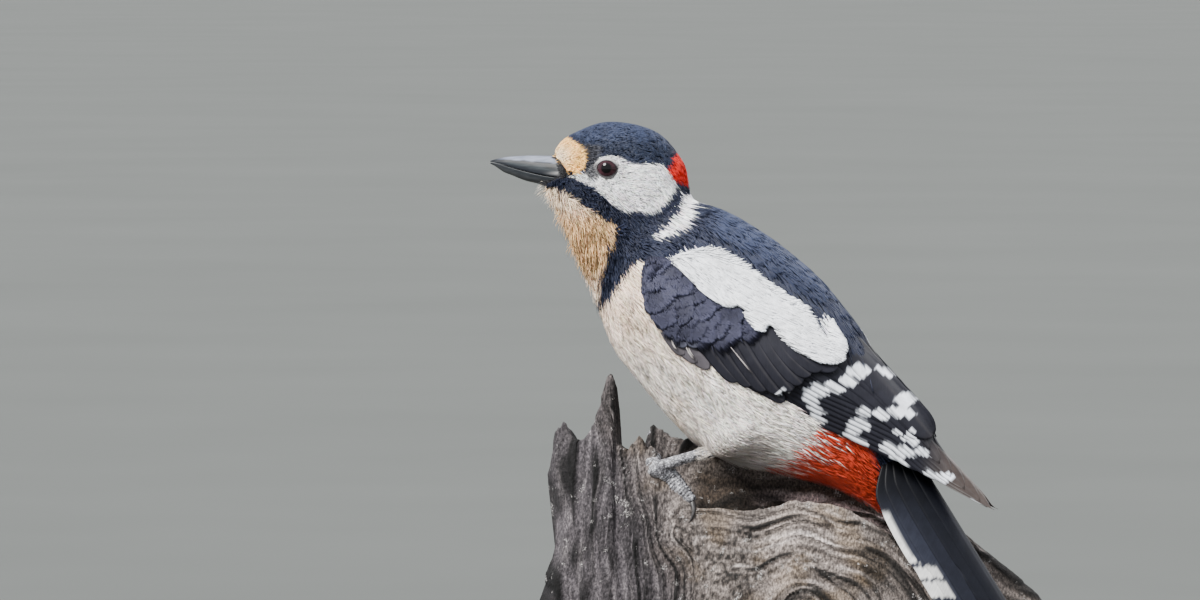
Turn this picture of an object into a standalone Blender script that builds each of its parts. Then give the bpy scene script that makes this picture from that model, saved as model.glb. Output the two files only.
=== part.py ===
"""Great spotted woodpecker, male, clinging to the broken top of a dead stem that a display stand holds up.

Metres, +Z up. The bird faces -X, its left side faces -Y and its own middle plane is Y = 0.
The origin is the middle of the underside of the stand's base. Sizes below are in millimetres.
"""

import math

import bmesh
import bpy
import numpy as np
from mathutils import Vector
from mathutils.bvhtree import BVHTree

MM = 0.001
GAP = 0.35  # left between two pieces that touch
CREASE = 40  # degrees; edges sharper than this stay sharp
CAP_REACH, CAP_RADIUS = 0.6, 0.55  # the drawn-in end of a tube, in its radius

BASE_TOP = 12.0
PERCH_FOOT = 30.0  # the height of the sawn underside of the perch
LEFT, RIGHT = -1, 1  # the signs of Y on the bird's two sides

# Body sections, bill to tail: back x, back z, front x, front z, half width.
BODY = np.array(
    [
        (-75.4, 196.6, -79.8, 184.4, 5.8),
        (-73.0, 200.3, -76.0, 180.0, 8.6),
        (-67.0, 203.9, -72.2, 174.9, 11.2),
        (-58.1, 206.7, -69.9, 168.3, 13.4),
        (-47.4, 205.9, -67.0, 161.7, 14.6),
        (-38.3, 202.3, -64.1, 155.0, 14.8),
        (-31.4, 194.4, -61.6, 149.4, 14.6),
        (-28.1, 185.5, -59.2, 143.4, 15.6),
        (-25.4, 180.3, -56.9, 136.4, 18.0),
        (-14.1, 176.0, -52.8, 128.6, 21.4),
        (1.8, 166.3, -44.0, 118.6, 24.6),
        (15.9, 155.0, -34.0, 107.4, 25.4),
        (26.4, 143.3, -23.2, 97.6, 24.6),
        (34.0, 131.9, -10.6, 92.6, 22.4),
        (39.6, 120.6, 5.3, 90.0, 18.6),
        (44.0, 109.2, 21.1, 86.2, 14.0),
        (47.6, 99.2, 33.0, 81.2, 9.4),
        (50.1, 91.5, 39.2, 77.6, 5.6),
    ]
)
HEAD_END, NECK_END = 5.6, 8.0  # where the thin cuts part the body, in sections
CUT = 0.06  # their width, in sections
BODY_SIDES = 22
LOWER_FULLNESS = 0.10  # the sections are this much wider below than above

EYE = dict(x=-53.4, z=191.0, radius=3.9, sunk=1.9)

BILL_ARCH = 1.2  # how sharply the upper half is ridged
LOWER_BILL = 0.92  # the width of the lower half beside the upper
# Bill: x, top z, tomium z, bottom z, half width.
BILL = np.array(
    [
        (-66.5, 194.0, 187.0, 183.6, 4.6),
        (-72.0, 194.6, 187.6, 184.0, 4.7),
        (-77.0, 194.9, 188.1, 184.6, 4.3),
        (-83.5, 195.0, 189.3, 185.8, 3.5),
        (-87.0, 194.8, 190.0, 186.6, 3.0),
        (-91.3, 194.5, 191.0, 188.2, 2.2),
        (-94.0, 194.2, 191.7, 189.2, 1.7),
        (-97.2, 193.5, 192.3, 191.2, 1.0),
        (-98.7, 193.1, 192.5, 191.9, 0.6),
    ]
)

# Folded wing, shoulder to tip: lower edge x, z, y, then upper edge x, z, y, then the outward
# bulge between them and the thickness there. Y is measured outwards from the middle plane.
WING = np.array(
    [
        (-35.6, 150.0, 21.6, -34.6, 154.6, 20.8, 0.4, 1.6),
        (-33.2, 142.2, 23.2, -28.6, 161.4, 19.2, 1.4, 3.2),
        (-26.2, 134.6, 24.6, -19.4, 162.6, 18.4, 2.8, 4.4),
        (-16.4, 127.2, 25.4, -5.6, 158.6, 17.4, 4.2, 5.4),
        (-2.4, 120.0, 25.2, 8.6, 151.6, 15.4, 5.2, 5.8),
        (11.0, 113.6, 23.6, 20.4, 144.0, 11.6, 6.0, 5.8),
        (24.0, 107.2, 20.2, 29.8, 138.2, 4.6, 6.4, 5.4),
        (36.4, 100.8, 16.4, 39.2, 127.4, 2.0, 5.0, 4.2),
        (48.8, 94.2, 12.4, 48.2, 117.2, 1.4, 3.2, 3.0),
        (55.6, 90.6, 9.8, 55.4, 108.0, 1.2, 1.8, 2.2),
        (58.2, 89.2, 8.8, 57.8, 101.8, 1.0, 1.4, 1.8),
        (62.4, 86.6, 7.4, 62.0, 96.0, 1.0, 1.0, 1.6),
        (69.4, 82.8, 5.0, 69.0, 87.8, 1.2, 0.5, 1.3),
        (76.0, 79.2, 3.2, 76.2, 80.8, 2.0, 0.2, 1.0),
    ]
)
WING_ACROSS = 9
WING_EDGE = 0.9  # its thickness along both edges

# Tail: a tent of stiff pointed feathers about a ridge line.
TAIL = dict(
    root=(46.0, 101.8),
    tip=(88.8, 36.0),
    half_width=15.0,
    drop=14.4,
    camber=1.5,  # how the drop grows towards the outer feathers
    root_width=0.66,
    opening=1.6,  # it reaches its full width at one part in this of its length
    outer_share=0.80,  # the outermost feather's length as a share of the central one's
    notch=2.6,
    feathers_a_side=5,
    thick_root=2.6,
    thick_tip=1.2,
)

# Leg, for the left side: feathered thigh as x, z, y outwards and radius.
THIGH = np.array(
    [
        (-16.6, 96.4, 14.4, 2.0),
        (-13.8, 98.6, 15.0, 3.9),
        (-8.4, 101.8, 16.2, 6.2),
        (-1.6, 106.0, 16.8, 7.2),
        (4.6, 110.6, 16.2, 5.4),
        (8.4, 113.6, 15.6, 2.4),
    ]
)
# Bare tarsus and toes as x, z, y outwards and radius, one set for each foot.
FEET = {
    "left": dict(
        side=LEFT,
        tarsus=[(-18.3, 96.4, 14.4, 1.5), (-24.4, 94.8, 13.8, 1.35), (-32.6, 93.6, 13.0, 1.7)],
        toes=[
            [(-32.6, 93.6, 13.0, 1.7), (-29.6, 89.4, 14.2, 1.4), (-25.6, 84.6, 15.0, 1.35), (-21.6, 80.0, 15.4, 1.15)],
            [(-31.2, 93.0, 12.6, 1.4), (-28.0, 90.8, 10.6, 1.15), (-25.0, 87.4, 9.6, 1.0)],
            [(-33.6, 94.0, 12.4, 1.5), (-35.2, 94.6, 8.4, 1.3), (-36.4, 92.6, 4.6, 1.2), (-36.4, 88.6, 2.4, 1.0)],
            [(-32.6, 94.0, 12.2, 1.5), (-31.8, 92.8, 8.2, 1.3), (-31.8, 89.8, 4.6, 1.2), (-31.4, 86.0, 2.6, 1.0)],
        ],
        claws=[(-21.8, 74.4, 14.8), (-23.4, 82.8, 9.4), (-37.6, 84.6, 1.6), (-32.4, 82.2, 1.4)],
    ),
    "right": dict(
        side=RIGHT,
        tarsus=[(-18.3, 96.4, 14.6, 1.5), (-24.4, 96.0, 15.4, 1.35), (-32.6, 95.8, 16.2, 1.7)],
        toes=[
            [(-32.6, 95.8, 16.2, 1.7), (-30.0, 91.6, 17.4, 1.4), (-26.4, 86.8, 19.6, 1.35), (-22.6, 82.4, 21.8, 1.15)],
            [(-31.6, 95.4, 15.8, 1.4), (-27.6, 93.0, 15.6, 1.15), (-24.6, 89.4, 17.0, 1.0)],
            [(-33.6, 96.0, 16.2, 1.5), (-38.6, 97.4, 15.6, 1.3), (-43.4, 97.0, 15.8, 1.2), (-46.8, 94.6, 16.2, 1.0)],
            [(-33.4, 96.2, 16.0, 1.5), (-36.8, 99.4, 13.4, 1.3), (-40.2, 102.0, 11.2, 1.2), (-43.4, 103.0, 10.2, 1.0)],
        ],
        claws=[(-21.6, 77.6, 21.4), (-24.2, 84.8, 17.4), (-50.6, 90.6, 15.4), (-47.2, 100.6, 8.6)],
    ),
}

TOE_BITE, CLAW_BITE = 0.25, 0.6  # how far the toes and the points of the claws bed into the wood

# Perch: the front rim and the back ridge of a hollow, broken stem, as x and z.
FRONT_RIM = np.array(
    [
        (-76.6, 84.0), (-73.3, 91.6), (-71.6, 101.6), (-68.4, 104.6), (-65.4, 101.6), (-62.6, 98.0),
        (-59.4, 102.4), (-56.2, 108.6), (-53.0, 119.0), (-51.4, 123.0), (-50.4, 118.0), (-49.6, 99.6),
        (-46.0, 98.2), (-41.4, 102.2), (-39.0, 97.0), (-36.6, 98.2), (-35.0, 93.6), (-32.2, 90.6),
        (-29.8, 87.2), (-26.2, 83.2), (-22.4, 78.8), (-14.0, 78.0), (-4.0, 77.8), (4.0, 79.2),
        (15.0, 81.8), (26.0, 80.2), (36.0, 76.2), (44.0, 70.0), (55.0, 57.4), (62.0, 48.4),
        (66.0, 42.0), (72.0, 38.0), (92.0, 34.0),
    ]
)
BACK_RIDGE = np.array(
    [
        (-76.6, 79.2), (-62.0, 85.2), (-50.0, 87.2), (-45.4, 95.2), (-43.4, 104.2), (-39.4, 102.4),
        (-32.8, 99.2), (-25.2, 94.8), (-13.6, 91.0), (-2.0, 88.2), (12.0, 86.8), (22.0, 84.0),
        (32.0, 79.2), (41.0, 76.2), (50.0, 74.2), (58.6, 70.0), (66.6, 63.6), (76.0, 55.6),
        (85.6, 47.0), (92.0, 40.0),
    ]
)
# Perch in plan, as x, front wall y, groove y, ridge y, back wall y and the depth of the hollow.
PERCH_PLAN = np.array(
    [
        (-76.6, -9.0, -2.0, 2.0, 8.0, 0.5),
        (-71.0, -15.0, 0.0, 6.0, 17.0, 3.0),
        (-60.0, -17.6, 0.4, 7.0, 24.0, 7.0),
        (-45.0, -17.2, 0.8, 7.0, 27.0, 8.0),
        (-32.0, -15.4, 0.6, 7.0, 28.0, 8.0),
        (-22.0, -14.6, 0.0, 7.4, 29.0, 8.0),
        (-5.0, -19.0, 0.0, 8.6, 31.0, 8.0),
        (15.0, -20.0, 1.6, 11.0, 33.0, 7.0),
        (30.0, -17.0, 6.0, 15.6, 35.0, 5.0),
        (44.0, -13.0, 16.0, 22.0, 37.0, 3.0),
        (60.0, -11.0, 19.0, 24.0, 38.0, 1.5),
        (80.0, -4.0, 20.0, 25.0, 37.0, 0.8),
        (92.0, 4.0, 21.0, 24.0, 33.0, 0.3),
    ]
)
RIM_THICK, SPIKE_THICK = 6.0, 2.4  # the rim's thickness, and that of its highest splinter
PERCH_STEP = 1.2  # the least distance between two sections
FOOT_SPREAD = 5.0  # how far the perch widens from its rim to its sawn foot
WAIST = dict(depth=4.4, z=66.0, reach=22.0, x=-76.6, run=34.0)  # a hollow in the perch's left side

CLAW = dict(bend=0.55, root=0.85, taper=0.78)  # where it turns down, and its radius beside the toe's
STAND = dict(length=172.0, width=100.0, round=8.0, rod_radius=4.0, rod_x=(-42.0, 44.0), rod_y=8.0)


# ---------------------------------------------------------------- scene and materials
def clear_scene():
    for old in list(bpy.data.objects):
        bpy.data.objects.remove(old, do_unlink=True)


def finish(name, colour, roughness, metallic=0.0):
    material = bpy.data.materials.new(name)
    material.use_nodes = True
    shader = material.node_tree.nodes["Principled BSDF"]
    shader.inputs["Base Color"].default_value = (*colour, 1.0)
    shader.inputs["Roughness"].default_value = roughness
    shader.inputs["Metallic"].default_value = metallic
    return material


def collection(name):
    made = bpy.data.collections.new(name)
    bpy.context.scene.collection.children.link(made)
    return made


# ---------------------------------------------------------------- shapes
def along(rows, at):
    """The table's row at a place between its rows, on a Catmull-Rom curve through them."""
    at = min(max(at, 0.0), len(rows) - 1.0)
    i = min(int(at), len(rows) - 2)
    t = at - i
    a, b = rows[max(i - 1, 0)], rows[i]
    c, d = rows[i + 1], rows[min(i + 2, len(rows) - 1)]
    return 0.5 * (2 * b + (c - a) * t + (2 * a - 5 * b + 4 * c - d) * t**2 + (3 * b - 3 * c + d - a) * t**3)


def height_at(line, x):
    """The height of a rim or ridge line at x."""
    return float(np.interp(x, line[:, 0], line[:, 1]))


def loft(name, rings, group, material, smooth=True, flat_ends=False):
    """A closed body through rings of points with equal counts, in millimetres.

    Flat ends get one face each; others are closed by a strip that joins the two halves of their ring.
    """
    rings = np.asarray(rings, float) * MM
    sides = rings.shape[1]
    mesh = bmesh.new()
    rows = [[mesh.verts.new(point) for point in ring] for ring in rings]
    for first, second in zip(rows, rows[1:]):
        for j in range(sides):
            k = (j + 1) % sides
            mesh.faces.new((first[j], first[k], second[k], second[j]))
    for row in (rows[0], rows[-1]):
        if flat_ends:
            mesh.faces.new(row)
        else:
            for j in range(sides // 2 - 1):
                mesh.faces.new((row[j], row[j + 1], row[-2 - j], row[-1 - j]))
    bmesh.ops.recalc_face_normals(mesh, faces=mesh.faces)
    data = bpy.data.meshes.new(name)
    mesh.to_mesh(data)
    mesh.free()
    if smooth:
        data.shade_smooth()
        data.set_sharp_from_angle(angle=math.radians(CREASE))
    data.materials.append(material)
    made = bpy.data.objects.new(name, data)
    group.objects.link(made)
    return made


def tube_rings(path, sides, round_start=False, round_end=True):
    """Rings about a path whose rows are x, y, z and radius, with its ends drawn in."""
    path = np.asarray(path, float)
    heading = np.gradient(path[:, :3], axis=0)
    side = np.cross(heading[0], (0.0, 1.0, 0.0))
    rings = []

    def ring(centre, direction, radius):
        nonlocal side
        direction = direction / np.linalg.norm(direction)
        side = side - direction * (side @ direction)
        side = side / np.linalg.norm(side)
        other = np.cross(direction, side)
        turn = np.linspace(0, 2 * math.pi, sides, endpoint=False)
        rings.append(centre + radius * (np.outer(np.cos(turn), side) + np.outer(np.sin(turn), other)))

    if round_start:
        unit = heading[0] / np.linalg.norm(heading[0])
        ring(path[0, :3] - CAP_REACH * path[0, 3] * unit, heading[0], CAP_RADIUS * path[0, 3])
    for row, direction in zip(path, heading):
        ring(row[:3], direction, row[3])
    if round_end:
        unit = heading[-1] / np.linalg.norm(heading[-1])
        ring(path[-1, :3] + CAP_REACH * path[-1, 3] * unit, heading[-1], CAP_RADIUS * path[-1, 3])
    return rings


def placed(rows, side):
    """Rows of x, z, y outwards and radius as x, y, z and radius on one side of the bird."""
    rows = np.asarray(rows, float)
    return np.column_stack([rows[:, 0], side * rows[:, 2], rows[:, 1], rows[:, 3]])


def refined(rows, steps):
    """The table's rows with more between them, on the smooth curve through them."""
    return np.array([along(rows, at) for at in np.linspace(0, len(rows) - 1, steps)])


def swollen(body, by, group):
    """A copy of a body grown by so many millimetres, to cut its neighbours with."""
    data = body.data.copy()
    normals = [vertex.normal.copy() for vertex in data.vertices]
    for vertex, normal in zip(data.vertices, normals):
        vertex.co += normal * by * MM
    grown = bpy.data.objects.new(body.name + "_cutter", data)
    grown.hide_render = True
    grown.display_type = "WIRE"
    group.objects.link(grown)
    return grown


def join_in(body, other, operation):
    """A Boolean with another body, applied at once."""
    modifier = body.modifiers.new(operation.lower(), "BOOLEAN")
    modifier.operation = operation
    modifier.solver = "EXACT"
    modifier.object = other
    graph = bpy.context.evaluated_depsgraph_get()
    data = bpy.data.meshes.new_from_object(body.evaluated_get(graph))
    body.modifiers.remove(modifier)
    body.data = data


# ---------------------------------------------------------------- the bird
def body_ring(at):
    """A section of the body: an ellipse from back to front, a little wider below."""
    back_x, back_z, front_x, front_z, half_width = along(BODY, at)
    turn = np.linspace(0, 2 * math.pi, BODY_SIDES, endpoint=False)
    up, out = np.cos(turn), np.sin(turn)
    x = (back_x + front_x) / 2 + (back_x - front_x) / 2 * up
    z = (back_z + front_z) / 2 + (back_z - front_z) / 2 * up
    y = half_width * out * (1 - LOWER_FULLNESS * up)
    return np.column_stack([x, y, z])


def body_part(name, start, end, rings, group, material):
    return loft(name, [body_ring(at) for at in np.linspace(start, end, rings)], group, material)


def surface_width(x, z):
    """The half width of the body at a point of its side view."""
    best = None
    for at in np.linspace(0, len(BODY) - 1, 400):
        back_x, back_z, front_x, front_z, half_width = along(BODY, at)
        middle = np.array([back_x + front_x, back_z + front_z]) / 2
        half = np.array([back_x - front_x, back_z - front_z]) / 2
        up = float((np.array([x, z]) - middle) @ half / (half @ half))
        off = float(np.linalg.norm(np.array([x, z]) - middle - up * half))
        if abs(up) < 1 and (best is None or off < best[0]):
            best = (off, half_width * math.sqrt(1 - up * up) * (1 - LOWER_FULLNESS * up))
    return best[1]


def eye(name, side, group, material):
    centre = (EYE["x"], side * (surface_width(EYE["x"], EYE["z"]) - EYE["sunk"]), EYE["z"])
    bpy.ops.mesh.primitive_uv_sphere_add(
        segments=16, ring_count=10, radius=EYE["radius"] * MM, location=Vector(centre) * MM
    )
    made = bpy.context.active_object
    made.name = name
    bpy.ops.object.transform_apply(location=True, rotation=False, scale=False)
    for owner in list(made.users_collection):
        owner.objects.unlink(made)
    group.objects.link(made)
    made.data.materials.append(material)
    made.data.shade_smooth()
    return made


def bill_half(name, upper, group, material):
    """Half of the bill: a ridged roof above the tomium, or a rounded keel below it."""
    rings = []
    for x, top, tomium, bottom, half_width in BILL:
        turn = np.linspace(0, math.pi, 9)
        arch = np.sin(turn)
        if upper:
            z = tomium + GAP / 2 + (top - tomium - GAP / 2) * arch**BILL_ARCH
            y = half_width * np.cos(turn)
        else:
            z = tomium - GAP / 2 - (tomium - GAP / 2 - bottom) * arch
            y = LOWER_BILL * half_width * np.cos(turn)
        rings.append(np.column_stack([np.full(len(y), x), y, z]))
    return loft(name, rings, group, material, flat_ends=True)


def wing(name, side, group, material):
    """The folded wing as one shell: its outer face bulges, its inner face follows a thickness inside."""
    rings = []
    across = np.linspace(0, 1, WING_ACROSS)
    arch = np.sin(math.pi * across)
    for row in WING:
        low, high = np.array(row[[0, 2, 1]]), np.array(row[[3, 5, 4]])
        bulge, thick = row[6], row[7]
        outer = low + np.outer(across, high - low)
        outer[:, 1] += bulge * arch
        inner = outer.copy()
        inner[:, 1] -= WING_EDGE + (thick - WING_EDGE) * np.sqrt(arch)
        ring = np.vstack([outer, inner[::-1]])
        ring[:, 1] *= side
        rings.append(ring)
    return loft(name, rings, group, material)


def tail(name, group, material):
    """Eleven pointed feathers as one tent-shaped plate, with a notch between each two tips."""
    root = np.array([TAIL["root"][0], 0.0, TAIL["root"][1]])
    tip = np.array([TAIL["tip"][0], 0.0, TAIL["tip"][1]])
    length = np.linalg.norm(tip - root)
    heading = (tip - root) / length
    up = np.array([-heading[2], 0.0, heading[0]])
    columns = 4 * TAIL["feathers_a_side"] + 1
    rings = []
    for c in np.linspace(-1, 1, columns):
        feather = abs(c) * TAIL["feathers_a_side"]
        notch = TAIL["notch"] * abs(2 * (feather - round(feather)))
        reach = length * (1 - (1 - TAIL["outer_share"]) * abs(c)) - notch
        top, bottom = [], []
        for l in np.linspace(0, 1, 5):
            opened = math.sin(min(l * TAIL["opening"], 1) * math.pi / 2)
            spread = TAIL["root_width"] + (1 - TAIL["root_width"]) * opened
            thick = TAIL["thick_root"] + (TAIL["thick_tip"] - TAIL["thick_root"]) * l
            centre = root + heading * reach * l - up * TAIL["drop"] * spread * abs(c) ** TAIL["camber"]
            centre[1] = TAIL["half_width"] * spread * c
            top.append(centre + up * thick / 2)
            bottom.append(centre - up * thick / 2)
        rings.append(np.vstack([top, bottom[::-1]]))
    return loft(name, rings, group, material, smooth=False)


def thigh(name, side, group, material):
    rows = placed(refined(THIGH, 8), side)
    return loft(name, tube_rings(rows, 12), group, material)


def settled(rows, wood, bite):
    """Rows of x, y, z and radius moved so that each lies on the wood and beds into it a little."""
    moved = []
    for x, y, z, radius in rows:
        spot, normal, _, _ = wood.find_nearest(Vector((x, y, z)) * MM)
        x, y, z = spot / MM + normal * (radius - bite)
        moved.append((x, y, z, radius))
    return np.array(moved)


def foot(side_name, wood, group, helpers, skin, horn):
    """The bare tarsus with four toes as one body, a curved claw at the end of each toe, and cutters for all."""
    shape = FEET[side_name]
    side = shape["side"]
    leg = placed(shape["tarsus"], side)
    leg[-1] = settled(leg[-1:], wood, TOE_BITE)[0]
    made = loft(f"foot_{side_name}", tube_rings(refined(leg, 6), 8), group, skin)
    cutters = [swollen(made, GAP, helpers)]
    for number, (toe, claw_tip) in enumerate(zip(shape["toes"], shape["claws"]), start=1):
        rows = refined(settled(placed(toe, side), wood, TOE_BITE), 6)
        part = loft("toe", tube_rings(rows, 8, round_start=True, round_end=False), helpers, skin)
        cutters.append(swollen(part, GAP, helpers))
        join_in(made, part, "UNION")
        bpy.data.objects.remove(part)
        end, before = rows[-1, :3], rows[-2, :3]
        heading = (end - before) / np.linalg.norm(end - before)
        tip = settled(placed([(*claw_tip, 0.0)], side), wood, CLAW_BITE)[0, :3]
        start = end + heading * 2 * GAP
        bend = start + heading * CLAW["bend"] * np.linalg.norm(tip - start)
        steps = np.linspace(0, 1, 6)[:, None]
        line = (1 - steps) ** 2 * start + 2 * steps * (1 - steps) * bend + steps**2 * tip
        radius = CLAW["root"] * rows[-1, 3] * (1 - CLAW["taper"] * steps)
        rings = tube_rings(np.hstack([line, radius]), 6, round_end=False)
        cutters.append(swollen(loft(f"claw_{side_name}_{number}", rings, group, horn), GAP, helpers))
    return cutters


# ---------------------------------------------------------------- perch and stand
def perch_section(x):
    """One loop of the perch at x: front wall, rim, groove, ridge, back wall and sawn foot."""
    front, groove, ridge, back, hollow = (np.interp(x, PERCH_PLAN[:, 0], column) for column in PERCH_PLAN.T[1:])
    rim_z, ridge_z = height_at(FRONT_RIM, x), height_at(BACK_RIDGE, x)
    floor_z = min(rim_z, ridge_z) - hollow
    rim_y = front + 2.0
    inner = min(rim_y + np.interp(rim_z, (100, 123), (RIM_THICK, SPIKE_THICK)), groove - 0.8)
    points = []
    for t in np.linspace(0, 1, 5):  # front wall, bottom to rim
        z = PERCH_FOOT + (rim_z - PERCH_FOOT) * t
        points.append((front - FOOT_SPREAD * (1 - t) ** 1.3 + 2.0 * t**3, z))
    points.append((inner, max(rim_z - 3.0, floor_z + 0.2)))
    points.append((groove, floor_z))
    points.append((max(ridge - 3.4, groove + 0.6), (floor_z + ridge_z) / 2))
    points.append((ridge, ridge_z))
    for t in np.linspace(0.15, 1, 5):  # back wall, ridge to bottom
        z = ridge_z + (PERCH_FOOT - ridge_z) * t
        points.append((ridge + (back + FOOT_SPREAD - ridge) * t**0.55, z))
    y, z = np.array(points).T
    waist = WAIST["depth"] * np.clip(1 - ((z - WAIST["z"]) / WAIST["reach"]) ** 2, 0, 1)
    return np.column_stack([x + waist * max(0.0, 1 - (x - WAIST["x"]) / WAIST["run"]), y, z])


def perch(name, group, material):
    line = np.union1d(FRONT_RIM[:, 0], BACK_RIDGE[:, 0])
    keep = [line[0]]
    for x in line[1:]:
        if x - keep[-1] > PERCH_STEP:
            keep.append(x)
    return loft(name, [perch_section(x) for x in keep], group, material, smooth=False, flat_ends=True)


def stand(group, base_finish, rod_finish):
    """A flat base and two rods that end just under the perch."""
    bpy.ops.mesh.primitive_cube_add(size=1, location=(0, 0, BASE_TOP / 2 * MM))
    base = bpy.context.active_object
    base.name = "stand_base"
    base.scale = (STAND["length"] * MM, STAND["width"] * MM, BASE_TOP * MM)
    bpy.ops.object.transform_apply(location=False, rotation=False, scale=True)
    mesh = bmesh.new()
    mesh.from_mesh(base.data)
    upright = [e for e in mesh.edges if abs(e.verts[0].co.z - e.verts[1].co.z) > MM]
    bmesh.ops.bevel(mesh, geom=upright, offset=STAND["round"] * MM, segments=6, profile=0.5, affect="EDGES")
    top = max(v.co.z for v in mesh.verts)
    rim = [e for e in mesh.edges if all(abs(v.co.z - top) < 1e-6 for v in e.verts)]
    bmesh.ops.bevel(mesh, geom=rim, offset=1.2 * MM, segments=2, profile=0.5, affect="EDGES")
    mesh.to_mesh(base.data)
    mesh.free()
    parts = [(base, base_finish)]
    height = PERCH_FOOT - BASE_TOP - 2 * GAP
    for number, x in enumerate(STAND["rod_x"], start=1):
        bpy.ops.mesh.primitive_cylinder_add(
            vertices=24,
            radius=STAND["rod_radius"] * MM,
            depth=height * MM,
            location=(x * MM, STAND["rod_y"] * MM, (BASE_TOP + PERCH_FOOT) / 2 * MM),
        )
        rod = bpy.context.active_object
        rod.name = f"stand_rod_{number}"
        parts.append((rod, rod_finish))
    for part, material in parts:
        for owner in list(part.users_collection):
            owner.objects.unlink(part)
        group.objects.link(part)
        part.data.materials.append(material)


def main():
    clear_scene()
    bird = collection("woodpecker")
    helpers = collection("cutters")
    black = finish("black_feathers", (0.02, 0.024, 0.035), 0.5)
    pale = finish("pale_feathers", (0.72, 0.66, 0.58), 0.7)
    slate = finish("bill_horn", (0.06, 0.07, 0.08), 0.35)
    brown = finish("eye_gloss", (0.06, 0.015, 0.012), 0.08)
    grey = finish("leg_skin", (0.42, 0.42, 0.44), 0.6)
    claw = finish("claw_horn", (0.08, 0.075, 0.07), 0.4)
    wood = finish("weathered_wood", (0.30, 0.28, 0.26), 0.85)
    board = finish("stand_board", (0.10, 0.06, 0.04), 0.45)
    brass = finish("stand_rod", (0.72, 0.58, 0.34), 0.3, 1.0)

    head = body_part("head", 0.0, HEAD_END, 12, bird, black)
    neck = body_part("neck", HEAD_END + CUT, NECK_END, 6, bird, black)
    trunk = body_part("trunk", NECK_END + CUT, len(BODY) - 1.0, 16, bird, pale)
    rump = tail("tail", bird, black)
    join_in(trunk, swollen(rump, GAP, helpers), "DIFFERENCE")

    for half, upper in (("bill_upper", True), ("bill_lower", False)):
        join_in(head, swollen(bill_half(half, upper, bird, slate), GAP, helpers), "DIFFERENCE")

    stem = perch("perch", bird, wood)
    wood_surface = BVHTree.FromObject(stem, bpy.context.evaluated_depsgraph_get())
    feet_cutters = []
    for side_name, side in (("left", LEFT), ("right", RIGHT)):
        join_in(head, swollen(eye(f"eye_{side_name}", side, bird, brown), GAP, helpers), "DIFFERENCE")
        folded = swollen(wing(f"wing_{side_name}", side, bird, black), GAP, helpers)
        join_in(trunk, folded, "DIFFERENCE")
        join_in(neck, folded, "DIFFERENCE")
        feathered = thigh(f"thigh_{side_name}", side, bird, pale)
        join_in(trunk, swollen(feathered, GAP, helpers), "DIFFERENCE")
        feet_cutters += foot(side_name, wood_surface, bird, helpers, grey, claw)

    for part in feet_cutters:
        join_in(stem, part, "DIFFERENCE")
    stand(bird, board, brass)


main()
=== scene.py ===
import math

import bmesh
import bpy
import numpy as np
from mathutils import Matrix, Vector
from mathutils.bvhtree import BVHTree


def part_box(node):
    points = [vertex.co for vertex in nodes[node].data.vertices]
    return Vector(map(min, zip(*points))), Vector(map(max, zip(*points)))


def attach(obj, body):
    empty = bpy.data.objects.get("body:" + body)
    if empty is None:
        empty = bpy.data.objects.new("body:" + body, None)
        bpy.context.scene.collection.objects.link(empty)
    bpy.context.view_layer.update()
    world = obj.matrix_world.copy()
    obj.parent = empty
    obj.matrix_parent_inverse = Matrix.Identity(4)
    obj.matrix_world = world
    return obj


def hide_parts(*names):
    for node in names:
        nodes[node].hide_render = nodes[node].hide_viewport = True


# Great spotted woodpecker on a dead stem, with its skin, feathers and weathered wood.
# The frame is in metres; every table and length below is in millimetres unless it says otherwise.

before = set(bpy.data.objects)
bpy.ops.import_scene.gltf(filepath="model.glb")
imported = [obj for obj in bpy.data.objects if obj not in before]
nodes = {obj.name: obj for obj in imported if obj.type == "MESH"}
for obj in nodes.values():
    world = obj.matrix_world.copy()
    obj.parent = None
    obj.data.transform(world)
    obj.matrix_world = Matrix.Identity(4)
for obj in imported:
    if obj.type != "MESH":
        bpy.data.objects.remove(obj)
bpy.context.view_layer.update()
mm = 0.001
left, right = -1, 1  # the signs of y on the bird's two sides
bothSides = ((left, "left"), (right, "right"))
fullTurn = 2 * math.pi


def curveThrough(rows, at):
    # rows of a table read between them: a Catmull-Rom curve through the rows, at places counted in rows
    rows = np.asarray(rows, float)
    at = np.clip(np.asarray(at, float), 0, len(rows) - 1)
    i = np.minimum(at.astype(int), len(rows) - 2)
    f = (at - i)[..., None]
    a, b = rows[np.maximum(i - 1, 0)], rows[i]
    c, d = rows[i + 1], rows[np.minimum(i + 2, len(rows) - 1)]
    return 0.5 * (2 * b + (c - a) * f + (2 * a - 5 * b + 4 * c - d) * f**2 + (3 * b - 3 * c + d - a) * f**3)


def drawn(rows, count):
    # the curve through a table's rows at so many even places
    return curveThrough(rows, np.linspace(0, len(rows) - 1, count))


def onceRound(count):
    # angles spaced evenly round a full turn, without its end
    return np.linspace(0, fullTurn, count, endpoint=False)


def unit(v):
    # each row divided by its own length
    return v / np.maximum(np.linalg.norm(v, axis=-1, keepdims=True), 1e-9)


def turned(heading, angle, aside):
    # a direction turned by an angle towards another that stands square to it
    return np.cos(angle)[:, None] * heading + np.sin(angle)[:, None] * aside


def smooth(low, high, x):
    # 0 below low, 1 above high, and an S-curve between them
    t = np.clip((x - low) / (high - low), 0, 1)
    return t * t * (3 - 2 * t)


def bell(distance, reach):
    # 1 at no distance, falling off as a Gaussian of that reach
    return np.exp(-((distance / reach) ** 2))


def mixed(first, second, share):
    # the first colour where the share is 0, the second where it is 1
    share = np.asarray(share)[..., None]
    return np.asarray(first) * (1 - share) + share * np.asarray(second)


def stacked(x, y=0.0, z=0.0):
    # points from coordinates of any shapes that fit together
    return np.stack(np.broadcast_arrays(x, y, z), -1)


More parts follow.
